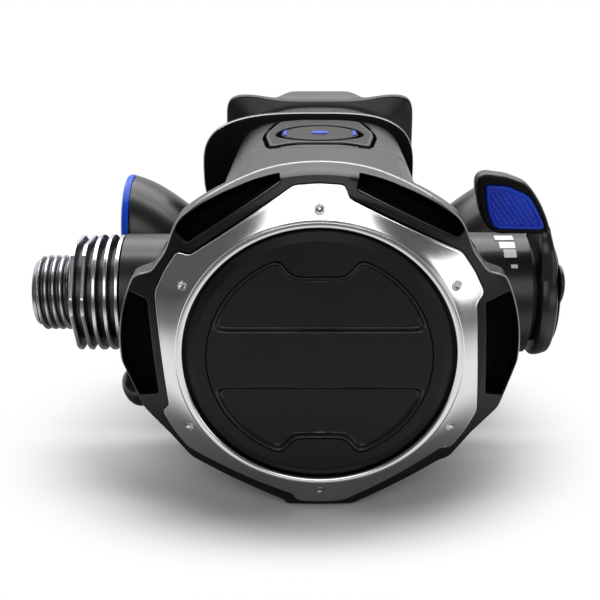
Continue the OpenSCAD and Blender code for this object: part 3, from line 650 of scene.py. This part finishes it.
def makeCover():
    # depth = edge profile + two panels that sink inside a circle with two notches
    spans = ((0.25, 5, 8), (5, 6.6, 20), (6.6, 14.6, 24), (14.6, 16.4, 22), (16.4, 20.4, 24), (20.4, 21.3, 3))
    radius = np.concatenate([np.linspace(a, b, n, endpoint=False) for a, b, n in spans])[:, None]
    count = 640
    angle = circle(count)

    def sunkBy(x, z):
        # how far inside a panel a place is
        high = np.abs(z)
        overNotch = coverForm["notchHeight"] - high
        besideNotch = np.abs(x) - coverForm["notchHalf"] + overNotch * coverForm["notchSlope"]
        besideNotch = besideNotch * coverForm["notchCosine"]
        inside = softLeast(coverForm["lineReach"] - np.hypot(x, z), softLeast(besideNotch, overNotch, -2.2))
        return softLeast(inside - 0.5, high - coverForm["panelEdge"], 1.5) + 0.25

    sunk = sunkBy(radius * np.cos(angle), radius * np.sin(angle))
    depth = -0.6 + coverForm["recess"] * smoothStep((sunk - 0.05) / 0.7)
    rim = rounded([[21.2, -0.6], [21.7, -0.6], [23.35, 0.25], [23.4, 1.4], [25.4, 1.4], [25.4, 2.2], [5, 2.2],
                   [5, 5.6], [0.4, 5.6]], [0, 0.35, 0.35, 0, 0.1, 0.1, 0, 0.2, 0])[1:]
    rows = [*zip(radius, depth), *rim]

    def onWall(x, y, z):
        # the panels' soft edges are smoother than the rest
        sunk = sunkBy(x, z)
        return (sunk > 0.0) & (sunk < 0.75) & (y < 0.5)

    piece("purgeCover", [(turned(rows, count, "y"), False)], "cover", "cover_black", ["purge_cover"],
          others=[("satin_black", onWall)])


makeCover()

# Inlet and fins

inletForm = {"start": -54.0, "crest": 7.144, "threadHeight": 0.78, "pitch": 1.411}


def makeInlet():
    # r = root + height * profile(fraction of a turn), where the fraction is x / pitch - angle; it fades in
    # and out
    count = 144
    x = np.linspace(-53.3, -46.9, 130)[:, None]
    angle = circle(count)
    phase = ((x - inletForm["start"]) / inletForm["pitch"] - angle / (2 * np.pi)) % 1
    tooth = smoothStep((0.5 - np.abs(phase - 0.5) - 0.1) / 0.32)
    fade = smoothStep((x + 53.5) / 0.9) * smoothStep((-46.8 - x) / 0.7)
    thread = inletForm["crest"] + inletForm["threadHeight"] * (tooth * fade - 1)
    front = rounded([[4, -42.2], [4, -54], [6.1, -54], [6.34, -53.4]], [0, 0.25, 0.3, 0])
    back = [[6.4, -46.8], [6.4, -46.4], [7.25, -46.35], [7.25, -30.2], [5.45, -30.2], [5.45, -28.6],
            [4.3, -28.6], [4.3, -27.2], [5.45, -27.2], [5.45, -26], [2.2, -26], [2.2, -42], [3.9, -42]]
    rows = [*front, *zip(thread, x), *back]

    def inRoot(x, y, z):
        # the thread's roots, painted dark as shade
        return (np.hypot(y - barrelY, z - barrelZ) < inletForm["crest"] - 0.42) & (x > -53.2) & (x < -46.5)

    piece("inletFitting", [(turned(rows, count, "x", barrel), True)], "case", "plain_steel",
          ["inlet_fitting"], others=[("gap_steel", inRoot)])


finForm = {"count": 5, "start": -46.1, "pitch": 2.07, "thick": 1.05, "root": 8.8, "reach": 11.1,
           "acrossFlats": 20.6, "firstFlat": 24, "flatsEnd": -42.9}


def makeFins():
    # five discs; the first two are cut by a hexagon: r = half across flats / cos(angle to the nearest flat)
    count = 360
    start, pitch, thick, root, reach = (finForm[k] for k in ("start", "pitch", "thick", "root", "reach"))
    shoulder = reach - 0.4
    off = np.arange(count) * 360 / count - finForm["firstFlat"]
    flat = finForm["acrossFlats"] / 2 / np.cos(np.radians((off + 30) % 60 - 30))
    rows = [[7.36, -36.7], [7.36, -46.3], [7.5, -46.4], [8.7, -46.4], [root, -46.3]]
    for k in range(finForm["count"]):
        x = start + k * pitch
        corners = [[root, x - 0.12], [root, x], [shoulder, x + 0.12], [reach, x + 0.17],
                   [reach, x + thick - 0.17], [shoulder, x + thick - 0.12], [root, x + thick],
                   [root, x + thick + 0.12]]
        rows += rounded(corners, [0, 0.12, 0, 0.2, 0.2, 0, 0.12, 0], steps=4)[1:-1].tolist()
    rows = np.array(rows + [[root, -36.75], [8.7, -36.66], [7.5, -36.66]])
    radius, along = rows[:, :1] * np.ones(count), rows[:, 1:]
    cut = flat - np.maximum(reach - radius, 0) * (radius > shoulder - 0.5)
    first = (along < finForm["flatsEnd"]) & (radius > 9.0)
    radius = np.where(first, np.minimum(radius, np.maximum(cut, root)), radius)

    def inGap(x, y, z):
        # the roots, and the two sides of the plates with flats, painted dark as shade between the fins
        r = np.hypot(y - barrelY, z - barrelZ)
        fromMiddle = np.abs((x - start - thick / 2 + pitch / 2) % pitch - pitch / 2)
        return (x > start + 0.7) & np.where(x < finForm["flatsEnd"], (r < 9) | (fromMiddle > 0.42), r < 10.68)

    piece("heatExchanger", [(spun(radius, along, "x", barrel), True)], "case", "fin_steel",
          ["heat_exchanger"], 35, [("gap_steel", inGap)])


makeInlet()
makeFins()

# Knob and venturi lever

knobForm = {"grips": 3, "firstGrip": 148.6, "discReach": 9.4, "gripMiddle": 7.8, "gripRadius": 3.7}


def makeKnob():
    # a domed disc with grips, each an arc about a point part way out: r = m cos d + sqrt(g^2 - (m sin d)^2)
    count, gap = 480, 360 / knobForm["grips"]
    disc, middle, grip = knobForm["discReach"], knobForm["gripMiddle"], knobForm["gripRadius"]
    off = np.radians((np.arange(count) * 360 / count - knobForm["firstGrip"] + gap / 2) % gap - gap / 2)
    beside = middle * np.sin(off)
    reach = middle * np.cos(off) + np.sqrt(np.maximum(grip ** 2 - beside ** 2, 0))
    outer = np.logaddexp(np.where(np.abs(beside) < grip, reach, 0) * 5, disc * 5) / 5
    share = np.clip((outer - disc) / (middle + grip - disc), 0, 1)
    rows = [(3.3, 35.4), (5, 35.4), (5, 43.9), (outer - 0.35, 43.92), (outer - 0.12, 43.97),
            (outer, 44.12), (outer, 44.2 + 0.2 * share), (outer - 0.1, 44.34 + 0.3 * share),
            (outer - 0.4, 44.45 + 0.33 * share), (outer * 0.88, 44.58 + 0.32 * share),
            (outer * 0.76, 44.86 + 0.14 * share), (6.1, 45.14), (5.75, 45.2), (5.55, 45.14), (5.5, 45.0),
            (5.5, 44.4), (3.3, 44.4)]
    piece("adjustingKnob", [(turned(rows, count, "x", barrel), True)], "knob", "satin_black",
          ["adjusting_knob"], 50)


tabForm = {"front": 15.5, "back": 19.0, "padSink": 1.2}
armCorners = [[-11, 2], [-9.4, 12], [-7.8, 14.3], [-7.8, 15.6], [-4.4, 16], [-1, 13], [3, 11.2], [3.5, 6.5],
              [0, 7.2], [-3.6, 6.3], [-6.3, 3.6], [-7.2, 1]]
tabCorners = [[27.7, 27.4], [28.2, 28.5], [29.5, 28.9], [33.2, 28.4], [36.6, 27.1], [38.1, 25.6], [39.8, 23],
              [41.2, 20], [41.9, 17.6], [32.4, 17.6], [30.7, 18.3], [29.6, 19.6], [28.4, 22.4], [27.8, 25.2]]
padCorners = [[29.4, 26.5], [29.9, 26.9], [33.2, 26.7], [36.6, 25.3], [37.7, 24.4], [39, 22.3], [40.3, 19.9],
              [40.6, 19], [39.9, 18.5], [32, 18.7], [31, 19.5], [30.1, 21.7], [29.6, 24.2]]


def makeVenturiLever():
    # hub ring, the arm beside it and the thumb tab with a pocket for its pad
    side = 40.12
    hub = rounded([[5.35, side], [11.5, side], [12, 40.6], [12, 41.7], [11.5, 43.3], [10.8, 43.6],
                   [5.35, 43.6]], [0.1, 0.3, 0.3, 0.35, 0.4, 0.4, 0.1], True)
    armPath = evenly(rounded(armCorners, 1.5, True), 160)
    arm = []
    for share, inset in ((0.01, 0.4), (0.04, 0.12), (0.15, 0), (0.6, 0), (0.85, 0.15), (0.95, 0.35),
                         (1, 0.7)):
        p = inwards(armPath, inset)
        end = np.interp(p[:, 1], [8.5, 15, 16], [43.3, 41.8, 41.5])
        arm.append(np.stack([mix(side, end, share), p[:, 0] + barrelY, p[:, 1] + barrelZ], -1))
    path = rounded(tabCorners, 1.0, True)
    outline = evenly(path, 240)
    pocket = evenly(rounded(padCorners, 0.7, True), 240)
    # the pocket's points start where the outline's do, so that the rim between them is even
    start = np.argmin(np.linalg.norm(pocket - outline[0], axis=1))
    pocket = np.roll(pocket, -start, 0)
    front, back, sink = tabForm["front"], tabForm["back"], tabForm["padSink"]
    rows = layers(outline, ((back, 0.9), (back - 0.06, 0.5), (back - 0.3, 0.15), (back - 0.7, 0),
                            (front + 0.7, 0), (front + 0.3, 0.12), (front + 0.08, 0.35), (front, 0.65)))
    rows += layers(pocket, ((front + 0.02, -0.2), (front + 0.1, -0.05), (front + 0.3, 0.0),
                            (front + sink, 0.0), (front + sink, 0.5)))

    def onFace(x, y, z):
        # the tab's front inside its rounded edge, painted darker as shade
        return (y < front + 0.2) & (awayFrom(path, x, z) < -0.42)

    piece("venturiLever", [(turned(hub, 192, "x", barrel), True), (arm, False), (rows, False)], "venturi",
          "satin_black", ["venturi_lever"], 42, [("face_black", onFace)])


def makePad():
    # raised border, then a lower field of small scales: height = |sin a| |sin b| of two crossing waves
    outline = evenly(rounded(padCorners, 0.7, True), 240)
    middle = outline.mean(0)
    front, sink = tabForm["front"], tabForm["padSink"]
    rows = layers(outline, ((front + sink - 0.06, 0.06), (front + 0.1, 0.06), (front - 0.1, 0.1),
                            (front - 0.24, 0.22), (front - 0.3, 0.42), (front - 0.28, 0.62),
                            (front - 0.2, 0.74)))
    field = inwards(outline, 0.8)
    for share in np.linspace(1, 0.02, 60):
        p = mix(middle, field, share)
        a, b = (p[:, 0] + p[:, 1] * 0.75) * 1.28, (p[:, 0] * 0.55 - p[:, 1] * 1.15) * 1.28
        scales = np.abs(np.sin(a * np.pi / 1.25)) * np.abs(np.sin(b * np.pi / 1.25))
        rise = smoothStep((1 - share) * 18) * 0.22
        rows.append(overs(p, front - 0.08 - scales * rise, 0))
    piece("venturiPad", [(rows, False)], "venturi", "royal_blue", ["venturi_pad"], 60)


makeKnob()
makeVenturiLever()
makePad()

# Exhaust tee

teeForm = {"reach": 39.0, "mouthRadius": 11.5, "centreY": 49.5, "low": -21.5, "high": 7.7, "wall": 1.6,
           "floor": -31.9, "valveZ": -13, "squareness": 2.1}


def ductRings(x, inset, floor):
    # centre line z = low + (high - low) t^2 (3 - 2t - 0.35 (1 - t)); half height = radius + 2.9 (1 - t^2)^2;
    # cut flat underneath
    t = np.abs(x) / teeForm["reach"]
    z = teeForm["low"] + (teeForm["high"] - teeForm["low"]) * t ** 2 * (3 - 2 * t - 0.35 * (1 - t))
    tall = teeForm["mouthRadius"] + 2.9 * (1 - t ** 2) ** 2 - inset
    deep = teeForm["mouthRadius"] - 0.5 * (1 - t ** 2) - inset
    ring = ovalAt(circle(144), deep[:, None], tall[:, None], 2 / teeForm["squareness"])
    y, up = ring[..., 0] + teeForm["centreY"], ring[..., 1] + z[:, None]
    x, up = np.broadcast_to(x[:, None], y.shape), np.maximum(up, floor)
    # its front sinks in behind the exhaust valve, which opens into it
    fromValve = np.hypot(x, up - teeForm["valveZ"])
    hollow = 6 * smoothStep((12.6 - fromValve) / 1.2) * (y < teeForm["centreY"] - 4)
    return np.stack([x, y + hollow, up], -1)


def makeTee():
    # outer wall, right lip, inner wall and left lip in one loop, and the collar round the exhaust valve
    reach, wall, floor = teeForm["reach"], teeForm["wall"], teeForm["floor"]
    x = np.linspace(-reach + 0.35, reach - 0.35, 97)
    lip = np.array([[reach - 0.1, 0.1], [reach, 0.35], [reach, wall - 0.3], [reach - 0.1, wall - 0.06]])
    walls = [ductRings(x, np.zeros_like(x), floor), ductRings(lip[:, 0], lip[:, 1], floor),
             ductRings(x[::-1], np.full_like(x, wall), floor + wall),
             ductRings(-lip[::-1, 0], lip[::-1, 1], floor)]
    ring = rounded([[14.4, 37.2], [14.4, 47.5], [11.6, 47.5], [11.6, 39.05], [12.65, 39.05], [12.65, 37.2]],
                   [0.3, 0.3, 0, 0, 0, 0.2], True)
    collar = turned(ring, 192, "y", (0, 0, teeForm["valveZ"]))
    piece("exhaustTee", [(np.concatenate(walls), True), (collar, True)], "case", "satin_black",
          ["exhaust_tee"])


makeTee()

# Mouthpiece and its clamp

neckForm = {"start": 20, "length": 38, "wide": (38.6, 35.2), "high": (17.6, 23.0), "squareness": 3.4}


def neckSize(y, which):
    # the neck's width or height changes evenly along it
    first, last = neckForm[which]
    return first + (last - first) * (y - neckForm["start"]) / neckForm["length"]


def oval(width, height, squareness, count):
    # the superellipse |2x / width|^squareness + |2z / height|^squareness = 1
    return ovalAt(circle(count), width / 2, height / 2, 2 / squareness)


def neckRing(y, inset, count):
    # the neck's outline at depth y, inset all round
    wide, high = (neckSize(y, which) - 2 * inset for which in ("wide", "high"))
    return oval(wide, high, neckForm["squareness"], count)


mouthForm = {"sag": 1.3, "bow": 0.9, "rollBack": 3.4, "underClamp": 1.25, "wall": 1.5}


def makeMouthpiece():
    # outlines along Y: sleeve, collar that reaches further left, tube, flared lip shield with a sagging top
    # edge, and back along the air passage; between two of them a + (b - a) share
    count = 288
    angle = circle(count)
    c, s = np.cos(angle), np.sin(angle)
    collar = ovalAt(angle, np.where(c < 0, 25.4, 20.4), 12.8, 0.64)
    fine = circle(5760)
    reach = reachOf(ovalAt(fine, 21.4 - 1.7 * np.sin(fine) ** 2, 13.6 + 0.9 * np.cos(fine) ** 2, 0.2), angle)
    shield = np.stack([reach * c, reach * s], -1)
    sag = mouthForm["sag"] * np.exp(-(shield[:, 0] / 13.5) ** 4) * (shield[:, 1] > 0)
    shield[:, 1] -= sag
    sleeve = neckRing(57, mouthForm["underClamp"], count)
    tube, waist, mouth = (oval(w, h, 2.8, count) for w, h in ((34, 21.4), (31.6, 20.4), (27, 13.4)))

    bow = mouthForm["bow"] * (shield[:, 0] / 21.8) ** 2
    rows = [overs(neckRing(38.5, mouthForm["underClamp"], count), 38.5), overs(sleeve, 57.6)]
    collarSteps = ((0.12, 57.9), (0.5, 58.02), (0.9, 58.08), (0.965, 58.16), (0.99, 58.35), (1, 58.7),
                   (1, 59.3), (0.99, 59.65), (0.96, 59.85), (0.9, 59.95))
    tubeSteps = ((0.95, 60.1), (1, 60.6), (1, 62), (1, 65))
    waistSteps = ((0.5, 67.5), (1, 70), (1, 71.2))
    for a, b, steps in ((sleeve, collar, collarSteps), (collar, tube, tubeSteps), (tube, waist, waistSteps)):
        rows += [overs(mix(a, b, share), y) for share, y in steps]
    for share, y in ((0.06, 72.2), (0.2, 73.0), (0.42, 73.5), (0.68, 73.85), (0.88, 74.0), (0.965, 74.08),
                     (0.99, 74.25), (1, 74.6), (1, 75.3)):
        rows.append(overs(mix(waist, shield, share), y + bow * share ** 2))
    # the middle of its top edge rolls back and fills the sag
    roll = np.exp(-(shield[:, 0] / 9) ** 8) * (shield[:, 1] > 0)
    rollBack = mouthForm["rollBack"] * roll
    for share, y, back in ((0.985, 75.7, 0.1), (0.99, 75.8, 0.5), (1.0, 75.8, 1.0)):
        lift = np.stack([np.zeros(count), sag * back], -1)
        rows.append(overs(mix(waist, shield, share) + lift * roll[:, None], y + bow + back * rollBack))
    for share, y in ((0.96, 75.9), (0.85, 76.0), (0.5, 76.1)):
        back = smoothStep((share - 0.3) / 0.5)
        rows.append(overs(mix(waist, shield, share), y + bow * share ** 2 + back * rollBack))
    for share, y in ((0.12, 76.3), (0.03, 76.2), (0, 75.6), (0, 70), (0, 60)):
        rows.append(overs(mix(mouth * 0.95, shield, share), y))
    rows += [overs(mouth, 56.2), overs(oval(29, 15.5, 3.2, count), 55.6)]
    rows += [overs(neckRing(y, mouthForm["underClamp"] + mouthForm["wall"], count), y) for y in (55.5, 38.5)]
    parts = [(rows, True)]
    # on each side a flat tongue with a bite tab across its end, both rounded off where they end
    u = np.linspace(0, 1, 24)
    endRound = np.sqrt(np.clip(1 - np.clip((u - 0.9) / 0.1, 0, 1) ** 2, 0.02, 1))
    bothRound = np.sqrt(np.clip(1 - np.clip(np.abs(u - 0.5) * 2 - 0.86, 0, 1) ** 2 / 0.0196, 0.02, 1))
    high = 6 + 8 * np.sqrt(u * (2 - u)) - 2 * u ** 3
    for side in (-1, 1):
        tongue = [overs(oval((11 - 2.6 * v * v) * r, 3.4 * r, 3, 64) + [side * (15 - 1.2 * v), 0],
                        75 + 14.9 * v) for v, r in zip(u, endRound)]
        bite = [overs(oval(3.2 * r, h * r, 3, 64) + [side * (11.4 - 0.6 * v), 0], 81 + 8.6 * v)
                for v, r, h in zip(u, bothRound, high)]
        parts += [(tongue, False), (bite, False)]

    def onCollar(x, y, z):
        # the collar's front, which is rougher and painted darker as shade
        return (y > 57.7) & (y < 58.13)

    def onCollarEdge(x, y, z):
        # and its glossy edge, whose lighter black is a painted highlight
        return (y > 58.13) & (y < 58.72)

    piece("mouthpieceRubber", parts, "case", "mouth_rubber", ["mouthpiece"], 40,
          [("face_black", onCollar), ("ridge_black", onCollarEdge)])


badgeCorners = np.array([[-8.4, 56], [-10.8, 49.4], [-11, 46.8], [-9.9, 39.7], [-9.2, 39.2],
                         [-4.6, 40.6], [4.6, 40.6], [9.2, 39.2], [9.9, 39.7], [11, 46.8], [10.8, 49.4],
                         [8.4, 56], [4, 56.6], [-4, 56.6]])
badgeForm = {"middle": 47.0, "ovalWide": 8.4, "ovalDeep": 5.2, "stand": 0.3, "lineDepth": 0.5}


def onNeck(path, rise):
    # a path in X and Y laid on the neck's upper side, a superellipse, and lifted by rise
    x, y = path[:, 0], path[:, 1]
    share = np.clip(np.abs(2 * x / neckSize(y, "wide")), 0, 0.999)
    power = neckForm["squareness"]
    top = mouthZ + neckSize(y, "high") / 2 * (1 - share ** power) ** (1 / power)
    return np.stack([x, y, top + rise], -1)


def fromOval(x, y):
    # how far outside the plate's oval line a place is, as a share of the oval
    return np.hypot(x / badgeForm["ovalWide"], (y - badgeForm["middle"]) / badgeForm["ovalDeep"]) - 1


clampForm = {"wall": 1.2, "groove": 0.8, "grooveOut": 0.75}


def makeClamp():
    # a square-sided sleeve; its top sinks inside the plate's outline grown by 0.75
    count = 760
    ends, insets = [38.4, 38.45, 38.6, 38.9, 57.3, 57.6, 57.75, 57.8], [0.5, 0.3, 0.1, 0, 0, 0.1, 0.3, 0.5]
    y = np.concatenate([ends[:4], np.linspace(39.2, 57.0, 112), ends[4:]])
    rings = np.stack([overs(neckRing(v, inset, count), v) for v, inset in zip(y, np.interp(y, ends, insets))])
    path = rounded(badgeCorners, 0.8, True)
    away = np.where(rings[..., 2] > mouthZ, awayFrom(path, rings[..., 0], rings[..., 1]), 9.0)
    rings[..., 2] -= clampForm["groove"] * smoothStep((clampForm["grooveOut"] - away) / 0.12)
    inner = np.stack([overs(neckRing(v, clampForm["wall"], count), v) for v in (57.8, 38.4)])

    def inGroove(x, y, z):
        # the gap round the plate, painted near black as shade; towards the back it reaches past the groove
        away = awayFrom(path, x, y)
        return (z > mouthZ + 4) & (away < np.where(y > 52, 1.15, 0.7)) & (away > -0.5)

    piece("mouthpieceClamp", [(np.concatenate([rings, inner]), True)], "case", "satin_black",
          ["mouthpiece_clamp"], 50, [("shadow_black", inGroove)])


def makeBadge():
    # the plate follows the neck's top; an oval line is cut where x^2/a^2 + y^2/b^2 = 1
    outline, top = evenly(rounded(badgeCorners, 0.8, True), 360), badgeForm["stand"]
    rows = [onNeck(inwards(outline, inset), rise) for inset, rise in
            ((0.05, -0.75), (0.0, 0.0), (0.03, top - 0.1), (0.14, top - 0.02), (0.3, top))]
    middle, field = np.array([0, badgeForm["middle"]]), inwards(outline, 0.36)
    for share in np.linspace(1, 0.01, 80):
        p = mix(middle, field, share)
        rows.append(onNeck(p, top - badgeForm["lineDepth"] * np.exp(-(fromOval(*p.T) / 0.07) ** 4)))

    def onTop(x, y, z):
        # inside the plate's rounded edge
        return awayFrom(badgeCorners, x, y) < -0.6

    def inLine(x, y, z):
        # the cut line, painted near black as shade
        return np.abs(fromOval(x, y)) < 0.072

    piece("clampPlate", [(rows, False)], "case", "satin_black", ["clamp_badge"], 50,
          [("sleeve_plastic", onTop), ("shadow_black", inLine)])


def makeInlay():
    # two crescents inside the ends of the oval and one pill in its middle
    wide, deep = badgeForm["ovalWide"] - 0.85, badgeForm["ovalDeep"] - 0.6
    t = np.linspace(-0.5, 0.5, 60)
    outer = np.stack([wide * np.cos(t), deep * np.sin(t)], -1)
    back = outer[::-1] - np.stack([0.9 * np.cos(t * np.pi), 0 * t], -1)
    crescent = np.concatenate([outer, back[1:-1]])
    steps = ((0.97, 0.15), (1.0, 0.3), (0.985, 0.42), (0.93, 0.48), (0.6, 0.49), (0.1, 0.49))
    parts = []
    for path in (crescent, crescent * [-1, 1], oval(3.6, 2.0, 3.2, 64)):
        path = path + [0, badgeForm["middle"]]
        centre = path.mean(0)
        parts.append(([onNeck(mix(centre, path, share), rise) for share, rise in steps], False))
    piece("clampInlay", parts, "case", "royal_blue", ["badge_inlay"])


makeMouthpiece()
makeClamp()
makeBadge()
makeInlay()

# Soft parts inside

diaphragmForm = {"wedges": 12, "columns": 9, "fold": (18, 26), "foldDepth": 1.1, "depth": 7.8,
                 "bend": (27, 14.2)}


def makeDiaphragm():
    # One sheet in wedges, from its clamped rim to the plate. The fold: depth = -1.1 sin(pi u)
    u = np.linspace(0, 1, 17)
    start, end = diaphragmForm["fold"]
    fold = diaphragmForm["foldDepth"] * np.sin(np.pi * u)
    reach = np.concatenate([[0.1, 4, 8, 12, 15, 17], mix(start, end, u), [27.6, 28.1, 28.6, 30.2]])
    front = np.concatenate([[7.4] * 6, 7.5 - fold, [7.55] * 4])
    back = np.concatenate([[8.2] * 6, 8.2 - fold, [8.2, 8.5, 8.9, 8.9]])
    half, columns = 180 / diaphragmForm["wedges"], diaphragmForm["columns"]
    for k in range(diaphragmForm["wedges"]):
        turn = np.radians(2 * half * k + np.linspace(-half, half, columns))
        ways = np.concatenate([turn, turn[::-1]])
        rows = [np.stack([r * np.cos(ways), np.repeat([a, b], columns), r * np.sin(ways)], -1)
                for r, a, b in zip(reach, front, back)]
        middle = math.radians(2 * half * k)
        rim, plate = ([r * math.cos(middle), diaphragmForm["depth"], r * math.sin(middle)]
                      for r in diaphragmForm["bend"])
        piece("diaphragmWedge%d" % (k + 1), [(rows, False)], ("case", "diaphragm_plate", rim, plate),
              "silicone", ["diaphragm"], 50)


springForm = {"start": 12.2, "end": 23.37, "reach": 3.6, "wire": 0.4, "turns": 7}


def makeSpring():
    # A coil in two halves, which meet in the middle.
    # r = reach + wire cos b, x = along + wire sin b, and the angle grows evenly along it
    reach, wire = springForm["reach"], springForm["wire"]
    first, last = springForm["start"] + wire, springForm["end"] - wire
    middle = (first + last) / 2
    around = circle(12)
    for name, body, far in (("springHalfLeft", "poppet", first), ("springHalfRight", "screw", last)):
        along = np.linspace(min(far, middle), max(far, middle), 127)[:, None]
        turn = (along - first) / (last - first) * springForm["turns"] * 2 * np.pi
        r = reach + wire * np.cos(around)
        x, y, z = along + wire * np.sin(around), barrelY + r * np.cos(turn), barrelZ + r * np.sin(turn)
        rows = np.stack([x, y, z], -1)
        piece(name, [(rows, False)], ("case", body, [middle, barrelY, barrelZ], [far, barrelY, barrelZ]),
              "plain_steel", ["poppet_spring"], 60)


makeDiaphragm()
makeSpring()

# Plug

plugForm = {"place": (-29.4, 19.5, -12), "tilt": -115}


def makePlug():
    # a domed plug, turned about an axis that points down to the left
    profile = rounded([[3.2, 0], [3.2, 5], [4, 5.4], [4, 7.4], [3.4, 8.5], [2.2, 9.3], [0.3, 9.6]], 0.6)
    tilt = math.radians(plugForm["tilt"])
    c, a, b = np.moveaxis(turned(profile, 96, "x"), -1, 0)
    x, z = a * math.cos(tilt) + c * math.sin(tilt), c * math.cos(tilt) - a * math.sin(tilt)
    places = np.stack([x, b, z], -1) + plugForm["place"]
    piece("lockPlug", [(places, False)], "case", "plug_black", ["lock_plug"])


makePlug()

# Studio: distances in metres, lamps by place, width, height and power

studio = {"floorHalf": 2.0, "shade": (0.031, 0.052), "mirrored": (0.046, 0.068), "flag": (0.09, 0.19),
          "world": 0.12, "target": (0.0, 0.0, 0.03),
          "overLamp": ((0.0, 0.06, 0.52), 0.8, 0.07, 1.7),
          "rearLamp": ((0.0, 0.34, 0.48), 0.9, 0.36, 3.2),
          "frontLamp": ((0.0, -0.59, 0.36), 0.46, 0.38, 1.15),
          "rightLamp": ((0.5, -0.42, 0.07), 0.26, 0.22, 0.36)}


def softLamp(name, place, width, height, power):
    # an area lamp that faces the object
    lamp = bpy.data.lights.new(name, "AREA")
    lamp.shape, lamp.size, lamp.size_y, lamp.energy = "RECTANGLE", width, height, power
    item = placed(name, lamp)
    item.location = place
    item.rotation_euler = (Vector(studio["target"]) - Vector(place)).to_track_quat("-Z", "Y").to_euler()


def buildStudio():
    # four lamps, the floor and the world
    for name in ("overLamp", "rearLamp", "frontLamp", "rightLamp"):
        softLamp(name, *studio[name])
    side, low = studio["floorHalf"], cadBox[0][2]
    mesh = bpy.data.meshes.new("studioFloor")
    corners = [(x, y, low) for x, y in ((-side, -side), (side, -side), (side, side), (-side, side))]
    mesh.from_pydata(corners, [], [(0, 1, 2, 3)])
    placed("studioFloor", mesh)
    # lit white near the object, where its shadow falls, and plain white further out; mirrors see a painted
    # shadow, a near-black glow on the floor near the object and in front of it on the camera's side
    f = Finish("floorWhite", (0.84, 0.84, 0.84), 0.9, specular=0.1)
    camera, mirror = f.rays()
    spot = f.add("ShaderNodeVectorMath", {"operation": "MULTIPLY_ADD"},
                 {0: f.place, 1: (0.77, 1.0, 0.0), 2: (0.0, 0.012, 0.0)})
    away = f.add("ShaderNodeVectorMath", {"operation": "LENGTH"}, {0: spot}, "Value")
    depth = f.add("ShaderNodeSeparateXYZ", {}, {0: f.place}, "Y")
    # painted shade in front of the object, which only mirrors see
    frontShaded = away.ramp(*studio["flag"]) * depth.ramp(0.0, -0.05)
    inMetal = mirror * away.ramp(*studio["mirrored"]) * (1.0 - frontShaded)
    seen = (camera * away.ramp(*studio["shade"])).most(inMetal)
    white, dark = (f.add("ShaderNodeEmission", {}, {"Color": (1, 1, 1, 1), "Strength": strength})
                   for strength in (1.0, 0.03))
    f.close(f.mixed(seen, f.mixed(mirror * 0.8, f.plain, dark), white))
    mesh.materials.append(f.material)

    # the same white behind the object for those rays, and a dim room elsewhere
    world = bpy.data.worlds.new("studioWorld")
    bpy.context.scene.world = world
    world.use_nodes = True
    room = Room(world.node_tree, "World Output")
    camera, mirror = room.rays()
    up = room.add("ShaderNodeSeparateXYZ", {}, {0: room.add("ShaderNodeTexCoord", {}, {}, "Generated")}, "Y")
    seen = camera.most(mirror * up.ramp(-0.05, 0.3))
    dim = room.add("ShaderNodeBackground", {}, {"Color": (0.95, 0.97, 1.0, 1), "Strength": studio["world"]})
    white = room.add("ShaderNodeBackground", {}, {"Color": (1, 1, 1, 1), "Strength": 1.0})
    room.close(room.mixed(seen, dim, white))


cameraForm = {"lens": 62.16, "sensor": 36.0, "shift": (-20 / 600, 30 / 600),
              "place": (0.00447, -0.20812, 0.10753), "down": 23.22}


def placeCamera():
    # the view for which the object was measured; its shift is a share of the picture's width
    camera = bpy.data.cameras.new("camera")
    item = placed("camera", camera)
    camera.lens, camera.sensor_width = cameraForm["lens"], cameraForm["sensor"]
    camera.shift_x, camera.shift_y = cameraForm["shift"]
    camera.clip_start = 0.01
    item.location = cameraForm["place"]
    item.rotation_euler = (math.radians(90 - cameraForm["down"]), 0, 0)
    bpy.context.scene.camera = item


buildStudio()
placeCamera()
bpy.context.scene.view_settings.view_transform = "Standard"
print("studio ready")
